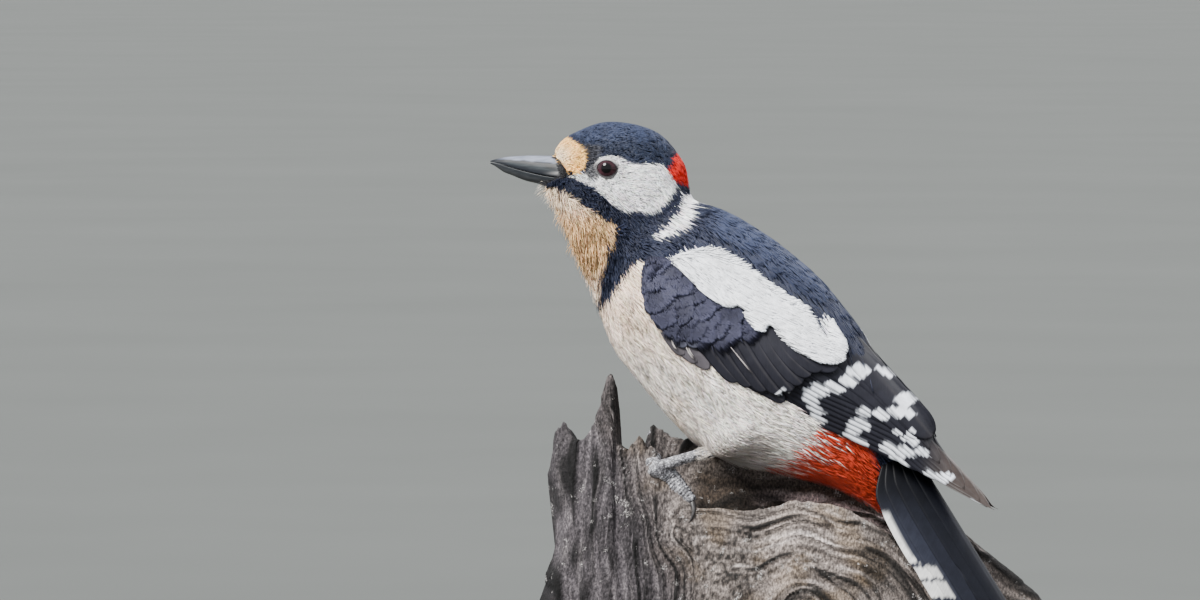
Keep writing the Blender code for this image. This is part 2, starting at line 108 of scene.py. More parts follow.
def between(field, i, j):
    # a grid read between its points, its last column joined to the first
    row, column = i.astype(int), j.astype(int)
    a, b = i - row, j - column
    if field.ndim == 3:
        a, b = a[..., None], b[..., None]
    after = (column + 1) % field.shape[1]
    return (field[row, column] * (1 - a) * (1 - b) + field[row + 1, column] * a * (1 - b)
            + field[row, after] * (1 - a) * b + field[row + 1, after] * a * b)


def lattice(i, j, k, seed):
    # a fixed random number from -1 to 1 for each whole-numbered place
    n = (i * 374761393 + j * 668265263 + k * 1440670441 + seed * 362437) & 0xFFFFFFFF
    n = ((n ^ (n >> 13)) * 1274126177) & 0xFFFFFFFF
    return (n ^ (n >> 16)) / 2147483647.5 - 1


def noise(points, size, seed=0, octaves=1):
    # value noise: lattice numbers joined by S-curves, with finer and weaker layers added
    points = np.asarray(points, float) / np.asarray(size, float)
    total, weight = 0.0, 1.0
    for octave in range(octaves):
        p = points * 2**octave + 31.7 * octave
        cell = np.floor(p).astype(np.int64)
        f = p - cell
        f = f * f * (3 - 2 * f)
        value = 0.0
        for corner in np.ndindex(2, 2, 2):
            share = np.where(corner, f, 1 - f)
            value = value + share[..., 0] * share[..., 1] * share[..., 2] * lattice(
                *np.moveaxis(cell + corner, -1, 0), seed + octave)
        total = total + weight * value
        weight *= 0.5
    return total


# the markings are drawn in a plane turned 18 degrees from the bird's own and dipped 2.5, the same on both sides
sideRun, sideOut, sideDip = 0.951, 0.309, 0.0436


def seenFromSide(x, out, z):
    # a place turned about the upright axis, then dipped, as the side view shows it
    return sideRun * x - sideOut * out, z - sideDip * (sideOut * x + sideRun * out)


def sideView(points):
    # u and v of each point, with both sides of the bird seen alike
    return seenFromSide(points[..., 0], np.abs(points[..., 1]), points[..., 2])


def fromSideView(u, v, y):
    # x and z of what is seen at u, v and lies y outwards
    x = (u + sideOut * y) / sideRun
    return x, v + sideDip * (sideOut * x + sideRun * y)


def inside(outline, u, v, soft=0.3):
    # how far inside a closed outline a place lies: 0 outside, 1 inside, soft over that many millimetres
    corners = drawn(np.vstack([outline, outline[:1]]), 6 * len(outline) + 1)
    flatU, flatV = np.ravel(u), np.ravel(v)
    crossings = np.zeros(flatU.shape, int)
    nearest = np.full(flatU.shape, 1e9)
    for (au, av), (bu, bv) in zip(corners[:-1], corners[1:]):
        edgeU, edgeV = bu - au, bv - av
        t = ((flatU - au) * edgeU + (flatV - av) * edgeV) / (edgeU**2 + edgeV**2 + 1e-12)
        t = np.clip(t, 0, 1)
        nearest = np.minimum(nearest, np.hypot(flatU - au - t * edgeU, flatV - av - t * edgeV))
        hit = au + (flatV - av) / (edgeV if abs(edgeV) > 1e-12 else 1e-12) * edgeU
        crossings += ((av > flatV) != (bv > flatV)) & (flatU < hit)
    signed = np.where(crossings % 2 == 1, nearest, -nearest)
    return smooth(-soft, soft, signed).reshape(np.shape(u))


def gridFaces(rows, columns, closedRows=False, closedColumns=False):
    # the quads of a grid of points, row after row
    r = np.arange(rows if closedRows else rows - 1)
    c = np.arange(columns if closedColumns else columns - 1)
    i, j = np.meshgrid(r, c, indexing="ij")
    i2, j2 = (i + 1) % rows, (j + 1) % columns
    return np.stack([i * columns + j, i * columns + j2, i2 * columns + j2, i2 * columns + j],
                    -1).reshape(-1, 4)


def makeMesh(name, points, faces, material, tints=None, maps=None, shadeSmooth=True):
    # points in millimetres; faces as arrays of quads or triangles; tints and maps hold one row per point
    mesh = bpy.data.meshes.new(name)
    points = np.asarray(points, float).reshape(-1, 3)
    faces = [np.asarray(f, np.int32) for f in faces]
    corners = np.concatenate([f.ravel() for f in faces])
    sizes = np.concatenate([np.full(len(f), f.shape[1], np.int32) for f in faces])
    mesh.vertices.add(len(points))
    mesh.vertices.foreach_set("co", (points * mm).astype(np.float32).ravel())
    mesh.loops.add(len(corners))
    mesh.loops.foreach_set("vertex_index", corners)
    mesh.polygons.add(len(sizes))
    mesh.polygons.foreach_set("loop_start", np.concatenate([[0], np.cumsum(sizes)[:-1]]).astype(np.int32))
    mesh.polygons.foreach_set("use_smooth", np.full(len(sizes), shadeSmooth))
    mesh.update(calc_edges=True)
    if tints is not None:
        tints = np.asarray(tints, float).reshape(-1, 3)
        layer = mesh.color_attributes.new("tint", "FLOAT_COLOR", "POINT")
        layer.data.foreach_set("color",
                               np.column_stack([tints, np.ones(len(tints))]).astype(np.float32).ravel())
    for mapName, uv in (maps or {}).items():
        layer = mesh.uv_layers.new(name=mapName)
        layer.data.foreach_set("uv", np.asarray(uv, np.float32).reshape(-1, 2)[corners].ravel())
    mesh.materials.append(material)
    piece = bpy.data.objects.new(name, mesh)
    bpy.context.scene.collection.objects.link(piece)
    return piece


def place(piece, slot, *replaced):
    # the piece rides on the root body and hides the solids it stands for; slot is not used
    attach(piece, "root")
    if replaced:
        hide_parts(*replaced)


def facesOut(piece):
    # turns a closed piece's faces outwards
    work = bmesh.new()
    work.from_mesh(piece.data)
    bmesh.ops.recalc_face_normals(work, faces=work.faces)
    work.to_mesh(piece.data)
    work.free()
    return piece


def withEnds(rings):
    # every ring's points, then the middle of the first ring and of the last
    return np.concatenate([rings.reshape(-1, 3), rings[0].mean(0)[None], rings[-1].mean(0)[None]])


def makeClosed(name, tubes, material, slot, *replaced, tints=None):
    # one piece of closed tubes: each is rings of equal counts, with a point closing each end
    points, quads, ends, offset = [], [], [], 0
    for rings in tubes:
        rows, sides = rings.shape[:2]
        points.append(withEnds(rings))
        quads.append(gridFaces(rows, sides, closedColumns=True) + offset)
        j = np.arange(sides)
        k, first = (j + 1) % sides, np.full(sides, rows * sides)
        ends.append(np.stack([first, k, j], -1) + offset)
        ends.append(np.stack([first + 1, first - sides + j, first - sides + k], -1) + offset)
        offset += len(points[-1])
    piece = makeMesh(name, np.concatenate(points), [np.concatenate(quads), np.concatenate(ends)],
                     material, tints)
    place(facesOut(piece), slot, *replaced)


def tube(path, radius, sides):
    # rings about a path of points; the ring's first point turns as little as it can from one to the next
    heading = unit(np.gradient(path, axis=0))
    side = np.cross(heading[0], (0.0, 1.0, 0.0))
    firsts = np.empty_like(path)
    for i, direction in enumerate(heading):
        side = side - direction * (side @ direction)
        side = side / np.linalg.norm(side)
        firsts[i] = side
    seconds = np.cross(heading, firsts)
    turn = onceRound(sides)
    ring = np.cos(turn)[None, :, None] * firsts[:, None] + np.sin(turn)[None, :, None] * seconds[:, None]
    return path[:, None] + radius[..., None] * ring


def newFinish(name, roughness, **sockets):
    # a material's node tree with its roughness and other fixed values set
    material = bpy.data.materials.new(name)
    material.use_nodes = True
    shader = material.node_tree.nodes["Principled BSDF"]
    shader.inputs["Roughness"].default_value = roughness
    for socket, value in sockets.items():
        shader.inputs[socket.replace("_", " ")].default_value = value
    return material, material.node_tree, shader


def add(tree, kind, inputs=None, **settings):
    # a node with its settings, and each of its inputs linked or set
    node = tree.nodes.new(kind)
    for key, value in settings.items():
        setattr(node, key, value)
    for key, value in (inputs or {}).items():
        if hasattr(value, "is_output"):
            tree.links.new(value, node.inputs[key])
        else:
            node.inputs[key].default_value = value
    return node


def grain(tree, scale, detail=3.0, stretch=(1, 1, 1), source="Object"):
    # noise read from the piece's own coordinates; scale counts features per metre
    if source == "Object":
        where = add(tree, "ShaderNodeTexCoord").outputs["Object"]
    else:
        where = add(tree, "ShaderNodeUVMap", uv_map=source).outputs["UV"]
    where = add(tree, "ShaderNodeMapping", {"Vector": where, "Scale": stretch}).outputs[0]
    return add(tree, "ShaderNodeTexNoise", {"Vector": where, "Scale": scale, "Detail": detail,
                                            "Roughness": 0.6}).outputs["Fac"]


def ramp(tree, value, *stops):
    # a colour, or a grey, for each stop of a 0 to 1 value
    node = add(tree, "ShaderNodeValToRGB", {"Fac": value})
    while len(node.color_ramp.elements) < len(stops):
        node.color_ramp.elements.new(0.5)
    for element, (at, colour) in zip(node.color_ramp.elements, stops):
        element.position = at
        element.color = (*colour, 1) if isinstance(colour, tuple) else (colour, colour, colour, 1)
    return node.outputs["Color"]


def blendColour(tree, share, first, second, kind="MULTIPLY"):
    # two colours or greys mixed by a share, by the kind of blend named
    return add(tree, "ShaderNodeMix", {0: share, 6: first, 7: second}, data_type="RGBA",
               blend_type=kind).outputs[2]


def tinted(tree, *tones):
    # the piece's own tint, multiplied by each tone
    colour = add(tree, "ShaderNodeAttribute", attribute_name="tint").outputs["Color"]
    for tone in tones:
        colour = blendColour(tree, 1.0, colour, tone)
    return colour


def wear(tree, shader, colour, height=None, depth=0.0, strength=1.0):
    # a finish's colour, and its relief with a depth in metres
    tree.links.new(colour, shader.inputs["Base Color"])
    if height is not None:
        relief = add(tree, "ShaderNodeBump", {"Height": height, "Distance": depth, "Strength": strength})
        tree.links.new(relief.outputs[0], shader.inputs["Normal"])


view = dict(turn=18.0, height=2.5, lens=300.0, distance=3.35, target=(-0.0542, -0.0176, 0.14725))  # in metres


def addToScene(name, data, location, back):
    # a camera or lamp that looks along the reverse of back
    piece = bpy.data.objects.new(name, data)
    piece.location = location
    piece.rotation_euler = back.to_track_quat("Z", "Y").to_euler()
    bpy.context.scene.collection.objects.link(piece)
    return piece


def setCamera():
    # the camera stands back from its target along a turn and a height
    turn, height = math.radians(view["turn"]), math.radians(view["height"])
    back = Vector((math.sin(turn) * math.cos(height), -math.cos(turn) * math.cos(height), math.sin(height)))
    data = bpy.data.cameras.new("camera")
    data.lens, data.sensor_width, data.clip_end = view["lens"], 36, 50
    stand = Vector(view["target"]) + back * view["distance"]
    bpy.context.scene.camera = addToScene("camera", data, stand, back)


# the sky's colour and strength, and each sun: where it comes from, its spread, power and colour
studioLight = dict(
    sky=(0.93, 0.95, 1.0, 1), strength=1.45,
    key=((-0.55, -1.0, 1.15), 0.45, 9.0, (1.0, 0.985, 0.95)),
    rim=((0.7, 1.2, 1.5), 0.5, 2.2, (1.0, 1.0, 1.0)),
)


def setLight():
    # an even sky and two suns: the key light, and a weaker one from behind
    world = bpy.data.worlds.new("studio")
    world.use_nodes = True
    background = world.node_tree.nodes["Background"]
    background.inputs["Color"].default_value = studioLight["sky"]
    background.inputs["Strength"].default_value = studioLight["strength"]
    bpy.context.scene.world = world
    for name in ("key", "rim"):
        source, angle, power, colour = studioLight[name]
        data = bpy.data.lights.new(name, "SUN")
        data.energy, data.angle, data.color = power, angle, colour
        addToScene(name, data, (0, 0, 0), Vector(source)).visible_camera = False


def makeFloor():
    # one flat sheet under the stand
    paper, tree, shader = newFinish("floor_paper", 0.9, Specular_IOR_Level=0.2)
    wear(tree, shader,
         ramp(tree, grain(tree, 3.0), (0.3, (0.068, 0.073, 0.069)), (0.7, (0.076, 0.081, 0.077))))
    half = 20000
    corners = [(-half, -half, 0), (half, -half, 0), (half, half, 0), (-half, half, 0)]
    makeMesh("floor", corners, [[(0, 1, 2, 3)]], paper, shadeSmooth=False)


setCamera()
setLight()
makeFloor()
print("camera, light and floor")


# the stem's outlines from the side, as x and z, and its plan: x, then the y of the front wall, groove,
# ridge and back wall, and the depth of the hollow
perchShape = dict(foot=30.0, spread=5.0, rimThick=6.0, spikeThick=2.4,
                  waist=4.4, waistHeight=66.0, waistReach=22.0,
                  waistRun=34.0, step=0.46)
knot = dict(x=21.0, z=46.5, wide=1.7, reach=24.0)
frontRim = np.array([
    (-76.6, 84), (-73.3, 91.6), (-71.6, 101.6), (-68.4, 104.6), (-65.4, 101.6), (-62.6, 98), (-59.4, 102.4),
    (-56.2, 108.6), (-53, 119), (-51.4, 123), (-50.4, 118), (-49.6, 99.6), (-46, 98.2), (-41.4, 102.2),
    (-39, 97), (-36.6, 98.2), (-35, 93.6), (-32.2, 90.6), (-29.8, 87.2), (-26.2, 83.2), (-22.4, 78.8),
    (-14, 78), (-4, 77.8), (4, 79.2), (15, 81.8), (26, 80.2), (36, 76.2), (44, 70), (55, 57.4), (62, 48.4),
    (66, 42), (72, 38), (92, 34),
])
backRidge = np.array([
    (-76.6, 79.2), (-62, 85.2), (-50, 87.2), (-45.4, 95.2), (-43.4, 104.2), (-39.4, 102.4), (-32.8, 99.2),
    (-25.2, 95.6), (-13.6, 94.6), (-2, 93), (12, 91), (22, 87.8), (32, 82.6), (41, 77.6), (50, 74.2),
    (58.6, 70), (66.6, 63.6), (76, 55.6), (85.6, 47), (92, 40),
])
perchPlan = np.array([
    (-76.6, -9, -2, 2, 8, 0.5), (-71, -15, 0, 6, 17, 3), (-60, -17.6, 0.4, 7, 24, 7),
    (-45, -17.2, 0.8, 7, 27, 8), (-32, -15.4, 0.6, 7, 28, 8), (-22, -14.6, 0, 9.4, 29, 8),
    (-5, -19, 1, 14, 31, 10), (15, -20, 3, 16.6, 33, 10), (30, -17, 6, 18.4, 35, 7),
    (44, -13, 16, 22.4, 37, 3), (60, -11, 19, 24, 38, 1.5), (80, -4, 20, 25, 37, 0.8),
    (92, 4, 21, 24, 33, 0.3),
])


def perchLoops(x, rimJag=0.0, counts=(84, 6, 22, 14, 12, 58, 16)):
    # one closed loop of points at each x: up the front wall, over the rim, down into the groove, up to the
    # ridge, down the back wall and across the sawn foot, straight between the named corners
    shape = perchShape
    foot, spread = shape["foot"], shape["spread"]
    front, groove, ridge, back, hollow = (np.interp(x, perchPlan[:, 0], column) for column in perchPlan.T[1:])
    rimZ = np.interp(x, *frontRim.T) + rimJag
    ridgeZ = np.interp(x, *backRidge.T)
    floorZ = np.minimum(rimZ, ridgeZ) - hollow
    rimY = front + 2.0
    thick = np.interp(rimZ, (100, 123), (shape["rimThick"], shape["spikeThick"]))
    corners = [
        (rimY, rimZ), (np.minimum(rimY + thick, groove - 0.8), np.maximum(rimZ - 3.0, floorZ + 0.2)),
        (groove, floorZ),
        (np.maximum(ridge - 3.4, groove + 0.6), (floorZ + ridgeZ) / 2), (ridge, ridgeZ),
    ]
    wall, *middle, rear, under = (np.linspace(0, 1, count, endpoint=False)[:, None] for count in counts)
    parts = [(front - spread * (1 - wall) ** 1.3 + 2.0 * wall**3, foot + (rimZ - foot) * wall)]
    for (y0, z0), (y1, z1), t in zip(corners, corners[1:], middle):
        parts.append((y0 + (y1 - y0) * t, z0 + (z1 - z0) * t))
    parts.append((ridge + (back + spread - ridge) * rear**0.55, ridgeZ + (foot - ridgeZ) * rear))
    parts.append((back + spread + (front - spread - back - spread) * under, foot + 0 * under * front))
    y, z = (np.concatenate([part[i] for part in parts]).T for i in (0, 1))
    waist = shape["waist"] * np.clip(1 - ((z - shape["waistHeight"]) / shape["waistReach"]) ** 2, 0, 1)
    push = np.maximum(0.0, 1 - (x - frontRim[0, 0]) / shape["waistRun"])[:, None]
    return np.stack([x[:, None] + waist * push, y, z], -1)


def woodSurface():
    # the plain stem as a search tree, for laying the toes on it
    keep = [frontRim[0, 0]]
    for x in np.union1d(frontRim[:, 0], backRidge[:, 0]):
        if x - keep[-1] > 1.2:
            keep.append(x)
    loops = perchLoops(np.array(keep), counts=(4, 1, 1, 1, 1, 5, 1))
    faces = gridFaces(*loops.shape[:2], closedColumns=True)
    return BVHTree.FromPolygons([Vector(p) for p in loops.reshape(-1, 3)], faces.tolist())


def woodGrain(points):
    # across: a number that stays the same along one fibre; along: the distance along it; flow: 0 on the upright
    # fibres of the left end, 1 where the bands follow the rim and bend round the knot;
    # ring: distance from the knot
    x, y, z = np.moveaxis(points, -1, 0)
    flow = smooth(-48, -16, x + 0.32 * (z - 75) + 5 * noise(points, 14, 5))
    rim = np.interp(x, (-80, -40, -22, 0, 16, 36, 55, 66, 92), (96, 92, 80, 78, 81, 76, 57, 43, 34))
    ring = np.hypot((x - knot["x"]) / knot["wide"], z - knot["z"])
    near = bell(ring, knot["reach"])
    banded = (rim - z) * (1 - near) + (36 - ring) * near
    upright = x + 0.10 * (84 - z) * smooth(-70, -30, x) + 0.5 * y
    across = upright * (1 - flow) + banded * flow + 2.6 * noise(points, (16, 16, 22), 3, 2)
    along = z * (1 - flow) + (x + 0.3 * y) * flow
    return across, along, flow, ring


def perchFinish():
    # weathered wood: speckle and lichen over the piece's own tint
    wood, tree, shader = newFinish("perch_wood", 0.86, Specular_IOR_Level=0.25)
    speckle = ramp(tree, grain(tree, 1500, 4, (1, 1, 0.6)), (0.36, (0.42, 0.41, 0.42)),
                   (0.50, 0.95), (0.66, (1.9, 1.87, 1.84)))
    lichen = ramp(tree, grain(tree, 260, 5), (0.60, 0), (0.68, 1))
    fine = ramp(tree, grain(tree, 2200, 3), (0.50, 0), (0.58, 1))
    pale = blendColour(tree, 1.0, lichen, fine)
    colour = blendColour(tree, pale, tinted(tree, speckle), (0.40, 0.385, 0.375, 1), "MIX")
    coarse = add(tree, "ShaderNodeMath", {0: grain(tree, 420, 4), 1: 1.2}, operation="MULTIPLY").outputs[0]
    height = add(tree, "ShaderNodeMath", {0: grain(tree, 1300, 5, (1, 1, 0.35)), 1: coarse},
                 operation="ADD").outputs[0]
    wear(tree, shader, colour, height, 0.0007, 0.9)
    return wood


def makePerch():
    # the loops, roughened along their normals by bands, fibres, cracks and creases that follow the grain
    foot = perchShape["foot"]
    x = np.arange(frontRim[0, 0], frontRim[-1, 0] + 0.01, perchShape["step"])
    line = stacked(x)
    jag = 1.3 * noise(line, 1.5, 11, 2) * smooth(-30, -40, x) + 0.5 * noise(line, 4, 12, 2)
    loops = perchLoops(x, jag)
    for _ in range(2):  # rounds the corners a little
        loops[..., 1:] = (np.roll(loops, 1, 1) + 2 * loops + np.roll(loops, -1, 1))[..., 1:] / 4
    around = (np.roll(loops, -1, 1) - np.roll(loops, 1, 1)) / 2
    normal = unit(np.cross(around, np.gradient(loops, axis=0)))
    across, along, flow, ring = woodGrain(loops)
    z, x = loops[..., 2], x[:, None]
    key = np.stack([across, along, 0.4 * loops[..., 1]], -1)
    broad = noise(key, (5.2, 46, 60), 21, 2)
    middle = noise(key, (1.9, 24, 30), 22, 2)
    fibre = noise(key, (0.85, 12, 9), 23, 2)
    crack = np.clip(noise(key, (2.6, 30, 40), 24) - 0.36, 0, 1) * 2
    # between the rim's bands and the knot the wood is plain and mottled
    below = np.interp(x, *frontRim.T) - z
    plain = smooth(9, 15, ring) * smooth(3, 10, below + 0.5 * np.minimum(0, -x)) * smooth(52, 34, x) * flow
    # creases lie where a stretched noise changes sign, so they run on along the grain
    crease = smooth(0.13, 0.02, np.abs(noise(key, (5.0, 44, 50), 27)))
    crease = crease * (0.35 + 0.65 * flow) * (1 - 0.92 * plain)
    hair = smooth(0.22, 0.04, np.abs(noise(key, (2.1, 20, 26), 28)))
    lift = (flow * (0.95 * broad + 0.40 * middle) * (1 - 0.8 * plain)
            + (1 - flow) * (0.42 * broad + 0.5 * middle))
    lift = lift + 0.35 * plain * noise(loops, 2.2, 34, 3)
    lift = (lift + 0.26 * fibre - 1.3 * crack - 1.1 * crease - 0.35 * hair + 0.14 * noise(loops, 1.1, 25, 2)
            - 0.15)
    onFoot = np.abs(z - foot) < 0.01
    lift = np.where(onFoot, 0, lift) * smooth(0, 3, z - foot)
    points = loops + lift[..., None] * normal
    points[..., 2] = np.where(onFoot, z, np.maximum(points[..., 2], foot + 0.01))
    # colour: cool dark grey on the left, warm pale grey on the right, with painted shade in the cracks, creases
    # and the hollow
    tint = mixed((0.072, 0.064, 0.070), (0.170, 0.145, 0.132), flow)
    shade = (1 + (0.35 + 0.45 * flow) * broad * (1 - 0.85 * plain) + 0.50 * middle * (1 - 0.6 * plain) + 0.55
             * fibre)
    shade = shade + 0.35 * noise(loops, 9, 29, 2) + 1.1 * plain * noise(loops, 1.25, 33, 3)
    tint = tint * np.clip(shade, 0.16, 2.4)[..., None]
    tint = mixed(tint, (0.17, 0.115, 0.060), 0.4 * smooth(0.15, 0.7, noise(loops, 15, 31, 2)) * flow)
    # bleached streaks on the ridges between the creases
    bleach = (smooth(0.15, 0.75, middle + 0.5 * fibre) * smooth(-0.2, 0.5, noise(loops, 12, 30, 2))
              * (0.3 + 0.7 * flow))
    tint = tint + bleach[..., None] * np.array((0.20, 0.185, 0.180))
    # painted shade: the colour is darkened in the cracks, the creases and the fine hairline creases
    creaseShade = 1 - 0.9 * np.clip(crack * 1.8, 0, 1) - 0.80 * crease - 0.35 * hair
    tint = tint * np.clip(creaseShade, 0.05, 1)[..., None]
    # the hollow lies in the loops' columns between rim and ridge; its inside is painted dark as shade
    column = np.arange(loops.shape[1])
    hollow = smooth(86, 92, column) * smooth(136, 128, column)
    hollow = hollow * smooth(-32, -24, x - 14 * smooth(88, 94, points[..., 2])) * smooth(62, 40, x)
    streaks = (1 + 1.1 * noise(key, (1.2, 16, 12), 32, 2))[..., None]
    # towards the right the hollow's floor is ribbed: the ribs' tops are painted pale as lit ridges, and the
    # grooves between them stay dark as shade
    rib = np.sin(column * 0.62 + 2.4 * noise(loops, (18, 8, 8), 35, 2) + 0.06 * x)
    rib = smooth(0.0, 0.8, rib) * smooth(-12, 6, x)
    inner = mixed(np.array((0.036, 0.026, 0.019)) * streaks,
                  np.array((0.56, 0.45, 0.43)) * (0.3 + 0.7 * streaks), rib)
    tint = mixed(tint, inner, 0.9 * hollow)
    tint = tint * (0.72 - 0.15 * smooth(-34, -22, x) + 0.36 * smooth(0, 12, x))[..., None]
    points = points + (0.5 * rib * hollow)[..., None] * normal
    makeClosed("perch_wood", [points], perchFinish(), "perch_wood", "perch", tints=withEnds(tint))
    print("perch", points.shape[:2])


# a rod's turned profile from the bottom up: radius as a share, height as a share
postProfile = np.array([
    (0.99, 0.0), (1.0, 0.01), (1.0, 0.13), (0.95, 0.16), (0.72, 0.18), (0.66, 0.24), (0.64, 0.5),
    (0.66, 0.78), (0.72, 0.84), (0.95, 0.86), (1.0, 0.89), (1.0, 0.99), (0.99, 1.0),
])


def solidBox(name):
    # the lowest and highest corner of one of the frame's solids
    return (np.array(corner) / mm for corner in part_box(name))


def makeStand():
    # the base keeps its solid and takes a waxed board's finish; each rod is turned with a collar at both ends
    board, tree, shader = newFinish("stand_board", 0.42, Coat_Weight=0.25, Coat_Roughness=0.25)
    rings = grain(tree, 60, 5, (0.10, 1.6, 1.0))
    fine = grain(tree, 420, 5, (0.05, 1.0, 1.0))
    colour = ramp(tree, rings, (0.30, (0.052, 0.026, 0.014)), (0.52, (0.105, 0.056, 0.030)),
                  (0.72, (0.165, 0.092, 0.050)))
    pores = ramp(tree, fine, (0.38, (0.45, 0.42, 0.40)), (0.50, 1))
    wear(tree, shader, blendColour(tree, 0.8, colour, pores), fine, 0.00015, 0.6)
    base = nodes["stand_base"]
    base.data.materials.clear()
    base.data.materials.append(board)
    brass, tree, shader = newFinish("stand_rod", 0.24, Metallic=1.0)
    tone = ramp(tree, grain(tree, 300, 3, (1, 1, 0.1)), (0.3, (0.60, 0.44, 0.22)), (0.7, (0.78, 0.62, 0.34)))
    wear(tree, shader, tone, grain(tree, 2500, 2, (1, 1, 0.03)), 0.00004, 0.5)
    for number in (1, 2):
        low, high = solidBox(f"stand_rod_{number}")
        middle, size, turn = (low + high) / 2, high - low, onceRound(48)
        out = postProfile[:, :1] * size[0] / 2
        points = stacked(out * np.cos(turn) + middle[0], out * np.sin(turn) + middle[1],
                         low[2] + postProfile[:, 1:] * size[2])
        makeClosed(f"stand_post_{number}", [points], brass, "stand_rod", f"stand_rod_{number}")
    print("stand")


makePerch()
makeStand()


# body sections from bill to vent: back x, back z, front x, front z, half width
bodySections = np.array([
    (-75.4, 196.6, -79.8, 184.4, 5.8), (-73, 200.3, -76, 180, 8.6), (-67, 203.9, -72.2, 174.9, 11.2),
    (-58.1, 206.7, -69.9, 168.3, 13.4), (-47.4, 205.9, -67, 161.7, 14.6), (-38.3, 202.3, -64.1, 155, 14.8),
    (-31.4, 194.4, -61.6, 149.4, 14.6), (-28.1, 185.5, -59.2, 143.4, 15.6), (-25.4, 180.3, -56.9, 136.4, 18),
    (-14.1, 176, -52.8, 128.6, 21.4), (1.8, 166.3, -44, 118.6, 24.6), (15.9, 155, -34, 107.4, 25.4),
    (26.4, 143.3, -23.2, 97.6, 24.6), (34, 131.9, -10.6, 92.6, 22.4), (39.6, 120.6, 5.3, 90, 18.6),
    (44, 109.2, 21.1, 86.2, 14), (47.6, 99.2, 33, 81.2, 9.4), (50.1, 91.5, 39.2, 77.6, 5.6),
])
# the thigh's axis: x, z, y outwards, radius
thighLine = np.array([
    (-16.6, 96.4, 14.4, 2), (-13.8, 98.6, 15, 3.9), (-8.4, 101.8, 16.2, 6.2), (-1.6, 106, 16.8, 7.2),
    (4.6, 110.6, 16.2, 5.4), (8.4, 113.6, 15.6, 2.4),
])
skinShape = dict(rows=320, sides=192, lowerFullness=0.10, faceDepth=0.5, bodyDepth=1.0, coat=0.45)
eyeShape = dict(long=3.10, above=2.60, below=2.66, pupil=1.7)
# where the bill's horn stands clear of the feathers, in the side view's plane
billBase = np.array([
    (-72.8, 198.5), (-71.4, 195.2), (-69.6, 192.8), (-68, 190.8), (-67.8, 189), (-70.2, 187.4),
    (-75.2, 185.9), (-80.5, 186), (-92, 186.5), (-92, 198.5),
])


def eyeCentre(side):
    # the middle of the solid eye, and half its greatest width
    low, high = solidBox("eye_left" if side < 0 else "eye_right")
    return (low + high) / 2, (high - low).max() / 2


def skinSurface():
    # sections are ellipses from back to front, a little wider below: with the turn t from the back line,
    # half way + half length * cos t along the section, half width * sin t * (1 - fullness * cos t) outwards;
    # the cheeks, brow, eye sockets and thighs are then pushed out or in along the normal
    s = np.linspace(0, len(bodySections) - 1, skinShape["rows"])
    t = onceRound(skinShape["sides"])
    backX, backZ, frontX, frontZ, half = curveThrough(bodySections, s).T[..., None]
    up, out = np.cos(t), np.sin(t)
    points = np.stack([
        (backX + frontX) / 2 + (backX - frontX) / 2 * up,
        half * out * (1 - skinShape["lowerFullness"] * up),
        (backZ + frontZ) / 2 + (backZ - frontZ) / 2 * up,
    ], -1)

    def outward(grid):
        # the surface's normal: the cross product of its two directions
        return unit(np.cross(np.gradient(grid, axis=0), np.roll(grid, -1, 1) - np.roll(grid, 1, 1)))

    normal = outward(points)
    x, z = points[..., 0], points[..., 2]
    eye, _ = eyeCentre(right)

    def spot(atX, atZ, reach, wide=1.0):
        # a round rise about one place on the side of the head
        return bell(np.hypot((x - atX) / wide, z - atZ), reach)

    sideways = smooth(0.25, 0.8, np.abs(normal[..., 1]))
    cheekAndLore = 0.9 * spot(-41, 184, 7.5, 1.25) - 0.8 * spot(-64.5, 190, 4.0, 1.3)
    lift = sideways * (cheekAndLore + 0.35 * spot(eye[0], eye[2], 6.0) + 0.45 * spot(-54, 196.2, 2.2, 1.6))
    # over each thigh the skin is pushed out to a tube about the leg
    push = np.zeros(x.shape)
    for cx, cz, cy, r in drawn(thighLine, 40):
        offset = points - stacked(cx, cy * np.sign(points[..., 1]), cz)
        b = (offset * normal).sum(-1)
        c = (offset**2).sum(-1) - r**2
        push = np.maximum(push, np.where(c < 0, np.sqrt(np.maximum(b * b - c, 0)) - b, 0))
    for _ in range(14):
        push[1:-1] = 0.25 * (push[:-2] + push[2:]) + 0.5 * push[1:-1]
        push = 0.25 * (np.roll(push, 1, 1) + np.roll(push, -1, 1)) + 0.5 * push
    # room for the coat, and the nape's hollow
    lift = lift + push - skinShape["coat"] * smooth(10.0, 8.0, s)[:, None]
    lift = lift - spot(-27, 184, 5.0) * smooth(0.2, 0.7, up)
    outer = points + lift[..., None] * normal
    # beside the bill's base the skin draws in behind the horn
    outer[..., 1] *= 1 - 0.58 * inside(billBase, *sideView(outer), 0.7)
    return s, t, outer, outward(outer), unit(np.gradient(outer, axis=0))


skinS, skinT, outerSkin, outerNormal, outerAlong = skinSurface()


def onSkin(s, t, field):
    # a skin grid read at section s and turn t
    i = np.clip(s / skinS[-1] * (len(skinS) - 1), 0, len(skinS) - 1.001)
    return between(field, i, (t / fullTurn * len(skinT)) % len(skinT))


def skinDepth(s):
    # how deep the skin lies under the coat's surface
    return skinShape["bodyDepth"] + (skinShape["faceDepth"] - skinShape["bodyDepth"]) * smooth(8.0, 5.0, s)


